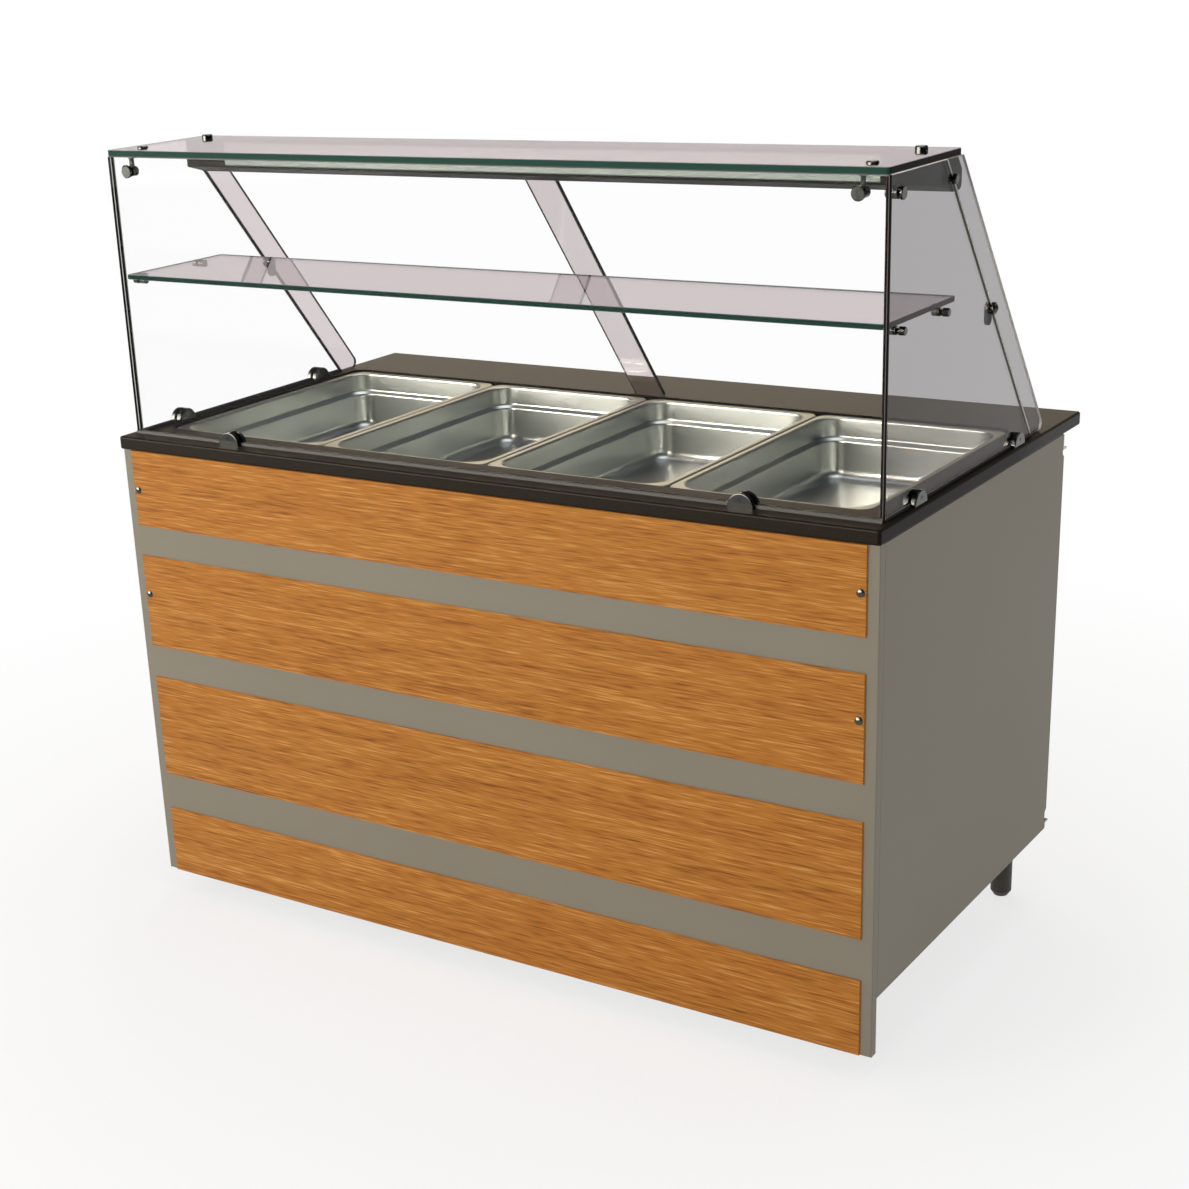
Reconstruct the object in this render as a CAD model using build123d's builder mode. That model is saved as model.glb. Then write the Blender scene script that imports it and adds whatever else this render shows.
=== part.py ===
from build123d import *
from math import atan2, cos, degrees, radians, sin
import os

os.makedirs("parts", exist_ok=True)

# Refrigerated buffet counter in millimetres: X runs along it, customers stand at -Y, the floor is z = 0.

# Worktop slab with a rebated cut-out that carries the pan rims
worktop_length = 1400
worktop_depth = 785
worktop_height = 850
worktop_thickness = 22
worktop_corner = 5
worktop_edge = 3.5
rebate_depth = 8
rebate_play = 3
rim_bearing = 8
cutout_corner = 30

# Gastronorm 1/1 pans in one row
pan_count = 4
pan_width = 325
pan_length = 530
pan_depth = 100
pan_gap = 1.5
pan_row_x = -11.5
pan_front = -302
pan_sheet = 1
pan_lift = 0.1
rim_height = 5
rim_width = 12.5
rim_lip = 1.2
rim_roll = 3.5
rim_corner = 24
mouth_corner = 40
mouth_bend = 4
shoulder_drop = 32
shoulder_height = 6
shoulder_step = 6.5
shoulder_bend = 4
wall_draft = 1.5
foot_draft = 4
floor_radius = 16

# Glass display above the worktop
glass_half = 688
glass_front = -359
glass_top = 1320
glass_gap = 0.5
pane_thickness = 8
top_thickness = 10
shelf_thickness = 8
pane_lift = 2
shelf_top = 1118
shelf_rear = -115
slope_foot = 257
slope_head = -119
strut_width = 45
strut_corner = 12
seam_gap = 2
centre_strut_left = -58
centre_strut_width = 58
glass_edge = 0.8
bolt_radius = 4
bolt_hole = 5

# Glass fittings
clip_radius = 21
clip_cheek = 8
clip_play = 0.1
clip_x = 475
clip_side_front = -246
clip_side_rear = 130
clip_round = 1.5
clip_screw = 3
clip_recess = 2
cap_radius = 9
cap_height = 6
flat_cap = 3
cap_round = 1.5
cap_x = 646
cap_front = -318
cap_rear = -160
arm_radius = 3.5
boss_radius = 8
boss_length = 13
boss_height = 1286
boss_side_drop = 3
boss_round = 1
arm_width = 12
arm_plate = 3
hub_drop = 4.5
washer_height = 3
washer_round = 1
stud_radius = 6
stud_inner = 12
stud_outer = 9
stud_front = -316
stud_rear = -168
stud_round = 1
clamp_z = 1079
clamp_radius = 9
clamp_tail = 16
clamp_plate = 5
clamp_round = 1

# Lamp under the top glass
lamp_front = -178
lamp_edge = 1274
lamp_keel = -137
lamp_bottom = 1262.5
lamp_kink = 1290
lamp_half = 679.5
lamp_window = 595
lamp_wall = 3
lamp_round = 10
lamp_screw_z = 1281
lamp_cap_grip = 10
lamp_screw_grip = 14
diffuser_thickness = 5
diffuser_round = 2
tube_y = -140
tube_radius = 8
tube_collar = 3
tube_collar_length = 20

# Cabinet
cabinet_half = 698
cabinet_front = -386
cabinet_rear = 321.5
cabinet_top = 828
front_bottom = 41
front_tray = 16
side_bottom = 132
side_thickness = 20
sheet = 1.5
panel_gap = 0.5
board_thickness = 3
board_half = 679.5
board_1_low = 694.5
board_2_low, board_2_high = 476, 641.5
board_3_low, board_3_high = 232, 418
board_4_high = 165
screw_x = 671
screw_upper_z = 758
screw_lower_z = 571.5
screw_head = 6.5
screw_dome = 3
screw_shank = 2.5

# Welded frame of angle steel
frame_half = 677.5
frame_front = -369
angle_leg = 30
angle_wall = 3
ledge_height = 655
mullion_x = 224
bay_x = -250
bay_upright_x = -254
gusset = 70
tray_flange = 16
partition_fold = 16

# Screw-in legs
leg_x = 631
leg_y = 306
leg_radius = 18
leg_pad = 12
leg_taper = 9
leg_shoulder = 128
leg_neck = 60
leg_neck_slope = 4
leg_neck_step = 3
stem_radius = 5
stem_top = 146
running_play = 0.05

# Cold well
tank_floor = 700
tank_play = 2
tank_sheet = 1
tank_corner = 24
tank_flange = 12
foam_half = 673.5
foam_front = -336
foam_rear = 262
foam_bottom = 655.2
coil_room = 12
coil_radius = 4
coil_runs = 6
coil_pitch = 70
coil_bend = 33
coil_left = -600
coil_right = 560
coil_first_y = -200
coil_tail = 5
drain_x = 450
drain_y = 115
drain_radius = 14
drain_bore = 11
drain_bottom = 520
valve_z = 575
valve_radius = 21
valve_half = 26
valve_stem = 4
drain_flange = 9
drain_flange_rise = 1
neck_reach = 6
neck_wall = 5
neck_bore = 12
lever_length = 84
lever_width = 15
lever_plate = 3
lever_offset = 30
lever_stem = 14
lever_round = 1

# Rear doors
door_back = 324
door_face = 344
door_bottom = 146
door_top = 800
door_bevel = 18
door_sheet = 1.2
door_gap = 2
left_door_x = (-246, 222)
right_door_x = (226, 692)
hinge_inset = 4
hinge_y = 330
pin_radius = 2.5
pin_length = 26
bracket_plate = 3
bracket_width = 20
bracket_reach = 16
bracket_margin = 2
hinge_block = (16, 11, 22)
hinge_block_inset = 12
hinge_block_shift = 4
handle_inset = 20
handle_low = 500
handle_span = 128
handle_reach = 28
handle_radius = 5
handle_bend = 10

# Machine bay cover and controls
cover_left = -676
cover_right = -262
cover_low = 134
cover_high = 702
louvre_rows = 9
louvre_length = 165
louvre_pitch = 45
louvre_rise = 16
louvre_reach = 9
louvre_start = 100
louvre_nose = 2
louvre_gap = 20
cover_corner = 3
fascia_low = 704
fascia_high = 796
fascia_thickness = 3
fascia_z = 750
fascia_corner = 3
fascia_round = 1
switch_frame = 3
switch_frame_rise = 2
switch_frame_corner = 2
switch_depth = 16
switch_bore = 20
switch_pivot_depth = 2
thermostat_x = -530
thermostat_width = 76
thermostat_height = 36
thermostat_body = 70
thermostat_body_height = 28
thermostat_depth = 44
thermostat_corner = 4
bezel_rise = 5
bezel_round = 1.5
window_width = 46
window_height = 22
window_shift = 10
window_corner = 2
window_depth = 1
key_width = 9
key_height = 9
key_x = 28
key_spread = 7
key_play = 0.2
key_travel = 0.8
key_corner = 2
key_rise = 1.2
key_well = 5
key_round = 0.6
rocker_x = (-400, -340)
rocker_width = 18
rocker_height = 26
rocker_tilt = 7
rocker_play = 0.6
rocker_swing = 1.6
rocker_pin = 1.5
rocker_face = 11
rocker_dish = 1.8
rocker_shoulder = 9.5
rocker_waist = 2
rocker_heel = 3
rocker_heel_half = 5
rocker_edge = 1.2
gland_x = -630
gland_z = 200
gland_hexagon = 13
gland_flange = 6
gland_dome = 11
gland_dome_length = 12
gland_dome_taper = 14
gland_thread = 10
gland_thread_length = 12
gland_nut = 5
gland_bore = 4.5

# Cooling unit
unit_x = -470
fan_z = 285
compressor_y = -70
shell_radius = 80
shell_height = 190
shell_seam_low = 0.52
shell_seam_high = 0.56
shell_seam_lip = 4
shell_foot_round = 30
shell_dome_round = 50
mount_height = 16
mount_radius = 11
mount_spacing = (170, 110)
base_plate = (210, 150)
base_plate_corner = 20
base_plate_thickness = 3
terminal_box = (60, 44, 60)
terminal_x = 40
terminal_rise = 10
port_rise = 100
port_radius = 6
port_reach = 12
coil_block_y = 236
coil_block_depth = 50
coil_block_half = 150
coil_block_height = 280
fin_count = 24
fin_reach = 8
fin_thickness = 1.2
fin_margin = 2
return_bends = 4
return_first = 35
return_pitch = 62
return_height = 24
return_reach = 14
return_radius = 5
return_bend = 11
shroud_depth = 30
shroud_sheet = 2.5
shroud_corner = 6
shroud_arms = 3
shroud_arm_width = 14
shroud_arm_thickness = 4
shroud_ring = 7
duct_radius = 116
blade_count = 5
blade_tip = 108
blade_thickness = 2.4
blade_corner = 1
blade_root_chord, blade_root_pitch = 27, 38
blade_tip_chord, blade_tip_pitch = 44, 23
hub_radius = 28
hub_length = 18
hub_nose = 3
hub_nose_step = 4
hub_sunk = 3
hub_clear = 3
motor_radius = 36
motor_length = 58
motor_step = 8
motor_slope = 6
shaft_radius = 4
line_bend = 14
line_right = 34
line_high = 266
line_low = 15
line_drop = 30
liquid_radius = 3
drier_offset = 42
drier_z = 320
drier_radius = 11
drier_length = 110
drier_cone = 14
drier_neck = 4

# Derived positions
row_length = pan_count * pan_width + (pan_count - 1) * pan_gap
row_y = pan_front + pan_length / 2
rim_top = worktop_height - rebate_depth + pan_lift + rim_height
cutout_length = row_length - 2 * rim_bearing
cutout_depth = pan_length - 2 * rim_bearing
pane_foot = worktop_height + pane_lift
pane_top = glass_top - top_thickness - glass_gap
pane_back = glass_front + pane_thickness
slope_angle = atan2(glass_top - worktop_height, slope_foot - slope_head)
strut_run = strut_width / sin(slope_angle)
strut_slice = pane_thickness / sin(slope_angle)
frame_depth = cabinet_rear - frame_front
frame_y = (cabinet_rear + frame_front) / 2
frame_top = cabinet_top - panel_gap
tray_top = side_bottom + angle_wall + sheet


def level(z):
    return Plane.XY.offset(z)


def facing_front(y):
    # Sketch plane at depth y: local axes X and Z, extrusion towards the customer
    return Plane(origin=(0, y, 0), x_dir=(1, 0, 0), z_dir=(0, -1, 0))


def facing_right(x):
    # Sketch plane at x: local axes Y and Z, extrusion towards +X
    return Plane(origin=(x, 0, 0), x_dir=(0, 1, 0), z_dir=(1, 0, 0))


def slope(z):
    # Depth of the slanted rear edge of the glass at height z
    rise = (z - worktop_height) / (glass_top - worktop_height)
    return slope_foot + rise * (slope_head - slope_foot)


def turn(origin, direction, profile):
    # Turned form: a closed outline of (radius, distance along the axis) points revolved about the axis
    axis_dir = Vector(*direction)
    across = Vector(0, 1, 0) if abs(axis_dir.X) > 0.5 else Vector(1, 0, 0)
    with BuildSketch(Plane(origin=origin, x_dir=across, z_dir=across.cross(axis_dir))) as outline:
        Polygon(*profile, align=None)
    revolve(outline.sketch, axis=Axis(origin, direction))


def pipe(points, radius, bend):
    # Round bar or pipe along a bent centre line
    with BuildLine() as centre:
        bent = FilletPolyline(*points, radius=bend)
    with BuildSketch(Plane(origin=bent @ 0, z_dir=bent % 0)) as section:
        Circle(radius)
    sweep(section.sketch, path=centre.line)


def ring(length, depth, wall):
    # Rectangular ring drawn about the frame's centre
    with Locations((0, frame_y)):
        Rectangle(length, depth)
        Rectangle(length - 2 * wall, depth - 2 * wall, mode=Mode.SUBTRACT)


def save(piece, name):
    piece.part.label = name
    export_step(piece.part, f"parts/{name}.step")


# Worktop
with BuildPart() as worktop:
    with BuildSketch(level(worktop_height - worktop_thickness)):
        RectangleRounded(worktop_length, worktop_depth, worktop_corner)
    extrude(amount=worktop_thickness)
    fillet(worktop.faces().sort_by(Axis.Z)[-1].edges(), worktop_edge)
    fillet(worktop.faces().sort_by(Axis.Z)[0].edges(), worktop_edge)
    with BuildSketch(level(worktop_height)):
        with Locations((pan_row_x, row_y)):
            RectangleRounded(cutout_length, cutout_depth, cutout_corner)
    extrude(amount=-worktop_thickness, mode=Mode.SUBTRACT)
    with BuildSketch(level(worktop_height)):
        with Locations((pan_row_x, row_y)):
            RectangleRounded(row_length + 2 * rebate_play, pan_length + 2 * rebate_play, rim_corner)
    extrude(amount=-rebate_depth, mode=Mode.SUBTRACT)
save(worktop, "worktop")


# Pans: drawn sheet with a stacking shoulder, rounded floor and rolled rim
def pan_form(pan_x, grow):
    # Solid form below the rim: the hollow when grow is zero, the outside when grow is the sheet
    mouth_x = pan_width - 2 * rim_width + 2 * grow
    mouth_y = pan_length - 2 * rim_width + 2 * grow
    shoulder = shoulder_drop + grow
    stages = (
        (0, 0),
        (shoulder, wall_draft),
        (shoulder + shoulder_height, wall_draft + shoulder_step),
        (pan_depth - pan_sheet + grow, wall_draft + shoulder_step + foot_draft),
    )
    with BuildPart() as form:
        for upper, lower in zip(stages, stages[1:]):
            for drop, inset in (upper, lower):
                with BuildSketch(Plane((pan_x, row_y, rim_top - drop))):
                    RectangleRounded(mouth_x - 2 * inset, mouth_y - 2 * inset, mouth_corner + grow - inset)
            loft(ruled=True)
        for drop, bend in (
            (shoulder, shoulder_bend + grow),
            (shoulder + shoulder_height, shoulder_bend - grow),
        ):
            height = rim_top - drop
            fillet(form.edges().filter_by_position(Axis.Z, height - pan_lift, height + pan_lift), bend)
        fillet(form.faces().sort_by(Axis.Z)[0].edges(), floor_radius + grow)
    return form.part


def bend_mouth(pan, flat_face, bend):
    # Round the inner edge of one of the rim's two flat faces, counted from the top
    flats = pan.faces().filter_by(GeomType.PLANE).sort_by(Axis.Z)
    fillet(flats[-flat_face].inner_wires()[0].edges(), bend)


def make_pan(pan_x):
    with BuildPart() as pan:
        with BuildSketch(Plane((pan_x, row_y, rim_top))):
            RectangleRounded(pan_width, pan_length, rim_corner)
        extrude(amount=-rim_height)
        fillet(pan.faces().sort_by(Axis.Z)[-1].edges(), rim_roll)
        with BuildPart(mode=Mode.SUBTRACT) as rim_hollow:
            with BuildSketch(Plane((pan_x, row_y, rim_top - pan_sheet))):
                RectangleRounded(pan_width - 2 * rim_lip, pan_length - 2 * rim_lip, rim_corner - rim_lip)
            extrude(amount=-rim_height)
            fillet(rim_hollow.faces().sort_by(Axis.Z)[-1].edges(), rim_roll - pan_sheet)
        add(pan_form(pan_x, pan_sheet))
        bend_mouth(pan, 2, mouth_bend - pan_sheet)
        add(pan_form(pan_x, 0), mode=Mode.SUBTRACT)
        bend_mouth(pan, 1, mouth_bend)
    return pan


for place in range(pan_count):
    first_x = pan_row_x - (row_length - pan_width) / 2
    save(make_pan(first_x + place * (pan_width + pan_gap)), f"pan_{place + 1}")


# Well tank
def tank_form(grow):
    inner_x = cutout_length + 2 * tank_play + 2 * grow
    inner_y = cutout_depth + 2 * tank_play + 2 * grow
    with BuildPart() as form:
        with BuildSketch(level(tank_floor - grow)):
            with Locations((pan_row_x, row_y)):
                RectangleRounded(inner_x, inner_y, cutout_corner + grow)
        extrude(amount=cabinet_top - tank_floor + grow)
        fillet(form.faces().sort_by(Axis.Z)[0].edges(), tank_corner + grow)
    return form.part


drain_spot = (drain_x, drain_y)
with BuildPart() as well_tank:
    add(tank_form(tank_sheet))
    with BuildSketch(level(cabinet_top - tank_sheet)):
        with Locations((pan_row_x, row_y)):
            RectangleRounded(cutout_length + 2 * tank_flange, cutout_depth + 2 * tank_flange, cutout_corner)
    extrude(amount=tank_sheet)
    add(tank_form(0), mode=Mode.SUBTRACT)
    with BuildSketch(level(tank_floor - tank_sheet)):
        with Locations(drain_spot):
            Circle(drain_radius + glass_gap)
    extrude(amount=tank_sheet, mode=Mode.SUBTRACT)
save(well_tank, "well_tank")

# Foam block round the tank, with room for the coil under the tank's floor
coil_z = tank_floor - tank_sheet - glass_gap - coil_radius
coil_last_y = coil_first_y + (coil_runs - 1) * coil_pitch
with BuildPart() as well_insulation:
    with BuildSketch(level(foam_bottom)):
        with Locations((0, (foam_front + foam_rear) / 2)):
            RectangleRounded(2 * foam_half, foam_rear - foam_front, worktop_corner)
    extrude(amount=cabinet_top - 2 * tank_sheet - foam_bottom)
    add(tank_form(tank_sheet + glass_gap), mode=Mode.SUBTRACT)
    with BuildSketch(level(tank_floor - coil_room - tank_sheet)):
        with Locations((pan_row_x, row_y)):
            RectangleRounded(cutout_length - 2 * tank_corner, cutout_depth - 2 * tank_corner, cutout_corner)
    extrude(amount=coil_room + tank_sheet, mode=Mode.SUBTRACT)
    with BuildSketch(level(foam_bottom)):
        with Locations(drain_spot):
            Circle(drain_radius + glass_gap)
        with Locations((coil_left + coil_bend / 2, coil_first_y), (coil_left + coil_bend / 2, coil_last_y)):
            SlotOverall(2 * coil_bend, 4 * coil_radius)
    extrude(amount=coil_pitch, mode=Mode.SUBTRACT)
save(well_insulation, "well_insulation")

# Evaporator: one tube in parallel runs under the tank, its two ends turned down into the machine bay
coil_path = [(coil_left, coil_first_y, foam_bottom - coil_tail)]
for run in range(coil_runs):
    run_y = coil_first_y + run * coil_pitch
    run_ends = [(coil_left, run_y, coil_z), (coil_right, run_y, coil_z)]
    coil_path += run_ends if run % 2 == 0 else run_ends[::-1]
coil_path.append((coil_left, coil_last_y, foam_bottom - coil_tail))
with BuildPart() as evaporator_coil:
    pipe(coil_path, coil_radius, coil_bend)
save(evaporator_coil, "evaporator_coil")

# Drain: flanged pipe down to a ball valve, bored from above and from below to the closed ball
with BuildPart() as drain_pipe:
    turn(
        (drain_x, drain_y, 0),
        (0, 0, 1),
        (
            (0, valve_z + valve_half / 2),
            (drain_bore, valve_z + valve_half / 2),
            (drain_bore, tank_floor + 2 * drain_flange_rise),
            (drain_radius + drain_flange, tank_floor + drain_flange_rise),
            (drain_radius + drain_flange, tank_floor),
            (drain_radius, tank_floor),
            (drain_radius, valve_z + valve_half),
            (valve_radius, valve_z + valve_half),
            (valve_radius, valve_z - valve_half),
            (drain_radius, valve_z - valve_half),
            (drain_radius, drain_bottom),
            (drain_bore, drain_bottom),
            (drain_bore, valve_z - valve_half / 2),
            (0, valve_z - valve_half / 2),
        ),
    )
    neck_length = valve_radius + neck_reach
    neck_y = drain_y + neck_length
    with Locations(Location((drain_x, drain_y + neck_length / 2, valve_z), (90, 0, 0))):
        Cylinder(valve_stem + neck_wall, neck_length)
    with Locations(Location((drain_x, neck_y - neck_bore / 2, valve_z), (90, 0, 0))):
        Cylinder(valve_stem + running_play, neck_bore, mode=Mode.SUBTRACT)
save(drain_pipe, "drain_pipe")

with BuildPart() as drain_lever:
    lever_face = neck_y + lever_plate + lever_round
    with Locations(Location((drain_x, lever_face - lever_round - lever_stem / 2, valve_z), (90, 0, 0))):
        Cylinder(valve_stem, lever_stem)
    with BuildSketch(facing_front(lever_face)):
        with Locations((drain_x - lever_offset, valve_z)):
            SlotOverall(lever_length, lever_width)
    extrude(amount=lever_plate)
    fillet(drain_lever.edges().filter_by(GeomType.CIRCLE).group_by(Axis.Y)[-1], lever_round)
save(drain_lever, "drain_lever")


# Glass panes
pane_edge_y = glass_front + pane_thickness + glass_gap
seam_offset = strut_run + seam_gap
stud_z = shelf_top - shelf_thickness - stud_radius - clip_play
clamp_y = slope(clamp_z) - strut_run - seam_gap / 2
lamp_screw_y = slope(lamp_screw_z) - strut_run - seam_gap / 2
seam_bolts = ((clamp_y, clamp_z), (lamp_screw_y, lamp_screw_z))
side_boss = (cap_front, boss_height - boss_side_drop)


def grind(pane, axis):
    # Small ground bevel round both faces of a pane
    faces = pane.faces().sort_by(axis)
    chamfer(faces[0].outer_wire().edges() + faces[-1].outer_wire().edges(), glass_edge)


with BuildPart() as front_glass:
    with BuildSketch(facing_front(pane_back)):
        with Locations((0, (pane_foot + pane_top) / 2)):
            Rectangle(2 * glass_half, pane_top - pane_foot)
        with Locations((-cap_x, boss_height), (cap_x, boss_height)):
            Circle(bolt_hole, mode=Mode.SUBTRACT)
    extrude(amount=pane_thickness)
    grind(front_glass, Axis.Y)
save(front_glass, "front_glass")


def make_side_glass(side):
    with BuildPart() as pane:
        with BuildSketch(facing_right(side * glass_half)):
            Polygon(
                (pane_edge_y, pane_foot),
                (slope(pane_foot) - seam_offset, pane_foot),
                (slope(pane_top) - seam_offset, pane_top),
                (pane_edge_y, pane_top),
                align=None,
            )
            with Locations((stud_front, stud_z), (stud_rear, stud_z), side_boss, *seam_bolts):
                Circle(bolt_hole, mode=Mode.SUBTRACT)
        extrude(amount=-side * pane_thickness)
        grind(pane, Axis.X)
    return pane


def make_side_strut(side):
    with BuildPart() as strut:
        with BuildSketch(facing_right(side * glass_half)) as outline:
            Polygon(
                (slope(worktop_height) - strut_run, worktop_height),
                (slope(worktop_height), worktop_height),
                (slope(pane_top), pane_top),
                (slope(pane_top) - strut_run, pane_top),
                align=None,
            )
            fillet(outline.vertices().sort_by(Axis.X)[-1], strut_corner)
            with Locations(*seam_bolts):
                Circle(bolt_hole, mode=Mode.SUBTRACT)
        extrude(amount=-side * pane_thickness)
        grind(strut, Axis.X)
    return strut


for side, word in ((-1, "left"), (1, "right")):
    save(make_side_glass(side), f"{word}_side_glass")
    save(make_side_strut(side), f"{word}_strut_glass")

with BuildPart() as centre_strut_glass:
    with BuildSketch(facing_right(centre_strut_left)):
        Polygon(
            (slope(worktop_height) - strut_slice, worktop_height),
            (slope(worktop_height), worktop_height),
            (slope(pane_top), pane_top),
            (slope(pane_top) - strut_slice, pane_top),
            align=None,
        )
    extrude(amount=centre_strut_width)
    slanted = centre_strut_glass.edges().filter_by(lambda e: abs(e.tangent_at(0.5).Y) > 0.4)
    chamfer(slanted.sort_by(Axis.Z)[2:-2], glass_edge)
save(centre_strut_glass, "centre_strut_glass")

with BuildPart() as top_glass:
    with BuildSketch(level(glass_top - top_thickness)):
        with Locations((0, (glass_front + slope_head) / 2)):
            RectangleRounded(2 * glass_half, slope_head - glass_front, worktop_corner)
        with Locations((0, (cap_front + cap_rear) / 2)):
            with GridLocations(2 * cap_x, cap_rear - cap_front, 2, 2):
                Circle(bolt_hole, mode=Mode.SUBTRACT)
    extrude(amount=top_thickness)
    grind(top_glass, Axis.Z)
save(top_glass, "top_glass")

with BuildPart() as shelf_glass:
    with BuildSketch(level(shelf_top - shelf_thickness)):
        with Locations((0, (pane_edge_y + shelf_rear) / 2)):
            RectangleRounded(2 * lamp_half, shelf_rear - pane_edge_y, worktop_edge)
    extrude(amount=shelf_thickness)
    grind(shelf_glass, Axis.Z)
save(shelf_glass, "shelf_glass")


# Half-round clips that hold the panes on the worktop
with BuildPart() as clip:
    with BuildSketch(Plane.XZ):
        Circle(clip_radius)
        with Locations((0, -clip_radius / 2)):
            Rectangle(2 * clip_radius, clip_radius, mode=Mode.SUBTRACT)
    extrude(amount=clip_cheek + pane_thickness / 2, both=True)
    cheeks = clip.faces().sort_by(Axis.Y)
    fillet((cheeks[0].edges() + cheeks[-1].edges()).filter_by(GeomType.CIRCLE), clip_round)
    with Locations((0, 0, pane_lift + clip_radius / 2)):
        Box(2 * clip_radius, pane_thickness + 2 * clip_play, clip_radius, mode=Mode.SUBTRACT)
    with BuildSketch(facing_front(-clip_cheek - pane_thickness / 2)):
        with Locations((0, clip_radius / 2)):
            Circle(clip_screw)
    extrude(amount=-clip_recess, mode=Mode.SUBTRACT)

front_middle = glass_front + pane_thickness / 2
side_middle = glass_half - pane_thickness / 2
with BuildPart() as base_clips:
    with Locations((-clip_x, front_middle, worktop_height), (clip_x, front_middle, worktop_height)):
        add(clip.part)
    for clip_y in (clip_side_front, clip_side_rear):
        with Locations(
            Location((side_middle, clip_y, worktop_height), (0, 0, 90)),
            Location((-side_middle, clip_y, worktop_height), (0, 0, -90)),
        ):
            add(clip.part)
save(base_clips, "base_clips")

# Corner connectors: flat cap and angled plate clamp the top glass, two stems carry bosses bolted to the panes
arm_bottom = pane_top - arm_plate
hub_bottom = pane_top - hub_drop
with BuildPart() as corner_connectors:
    for side in (-1, 1):
        turn(
            (side * cap_x, cap_front, 0),
            (0, 0, 1),
            (
                (0, hub_bottom),
                (boss_radius - 2 * boss_round, hub_bottom),
                (boss_radius - boss_round, hub_bottom + boss_round),
                (boss_radius - boss_round, glass_top - top_thickness),
                (bolt_radius, glass_top - top_thickness),
                (bolt_radius, glass_top),
                (cap_radius, glass_top),
                (cap_radius, glass_top + flat_cap - cap_round),
                (cap_radius - cap_round, glass_top + flat_cap),
                (0, glass_top + flat_cap),
            ),
        )
        front_boss_y = pane_back + boss_length / 2
        side_boss_x = glass_half - pane_thickness - boss_length / 2
        with BuildSketch(level(arm_bottom)):
            with Locations(Location((side * cap_x, (cap_front + front_boss_y) / 2), 90)):
                SlotCenterToCenter(cap_front - front_boss_y, arm_width)
            with Locations((side * (cap_x + side_boss_x) / 2, cap_front)):
                SlotCenterToCenter(side_boss_x - cap_x, arm_width)
        extrude(amount=arm_plate)
        for stem_x, stem_y, stem_foot in (
            (cap_x, front_boss_y, boss_height),
            (side_boss_x, cap_front, side_boss[1]),
        ):
            with BuildSketch(level(stem_foot)):
                with Locations((side * stem_x, stem_y)):
                    Circle(arm_radius)
            extrude(amount=pane_top - stem_foot)
        turn(
            (side * cap_x, pane_back, boss_height),
            (0, -1, 0),
            (
                (0, -boss_length),
                (boss_radius - boss_round, -boss_length),
                (boss_radius, boss_round - boss_length),
                (boss_radius, 0),
                (bolt_radius, 0),
                (bolt_radius, pane_thickness),
                (cap_radius + washer_round, pane_thickness),
                (cap_radius + washer_round, pane_thickness + washer_height),
                (cap_radius, pane_thickness + washer_height + washer_round),
                (0, pane_thickness + washer_height + washer_round),
            ),
        )
        turn(
            (side * (glass_half - pane_thickness), cap_front, side_boss[1]),
            (side, 0, 0),
            (
                (0, -boss_length),
                (boss_radius - boss_round, -boss_length),
                (boss_radius, boss_round - boss_length),
                (boss_radius, 0),
                (bolt_radius, 0),
                (bolt_radius, pane_thickness),
                (cap_radius, pane_thickness),
                (cap_radius, pane_thickness + washer_height),
                (cap_radius - washer_round, pane_thickness + washer_height + washer_round),
                (0, pane_thickness + washer_height + washer_round),
            ),
        )
save(corner_connectors, "corner_connectors")

# Studs that carry the middle shelf
with BuildPart() as shelf_studs:
    for side in (-1, 1):
        for stud_y in (stud_front, stud_rear):
            turn(
                (side * (glass_half - pane_thickness), stud_y, stud_z),
                (side, 0, 0),
                (
                    (0, -stud_inner),
                    (stud_radius - stud_round, -stud_inner),
                    (stud_radius, stud_round - stud_inner),
                    (stud_radius, 0),
                    (bolt_radius, 0),
                    (bolt_radius, pane_thickness),
                    (stud_radius, pane_thickness),
                    (stud_radius, pane_thickness + stud_outer - stud_round),
                    (stud_radius - stud_round, pane_thickness + stud_outer),
                    (0, pane_thickness + stud_outer),
                ),
            )
save(shelf_studs, "shelf_studs")

# Clamps on the seam between each side pane and its strut: round head outside, tailed plate inside
with BuildPart() as strut_clamps:
    for side in (-1, 1):
        turn(
            (side * glass_half, clamp_y, clamp_z),
            (side, 0, 0),
            (
                (0, -pane_thickness),
                (bolt_radius, -pane_thickness),
                (bolt_radius, 0),
                (clamp_radius, 0),
                (clamp_radius, clamp_plate - clamp_round),
                (clamp_radius - clamp_round, clamp_plate),
                (0, clamp_plate),
            ),
        )
        with BuildSketch(facing_right(side * (glass_half - pane_thickness))):
            with Locations(Location((clamp_y, clamp_z - clamp_tail / 2), 90)):
                SlotCenterToCenter(clamp_tail, 2 * clamp_radius)
        extrude(amount=-side * clamp_plate)
save(strut_clamps, "strut_clamps")


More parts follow.
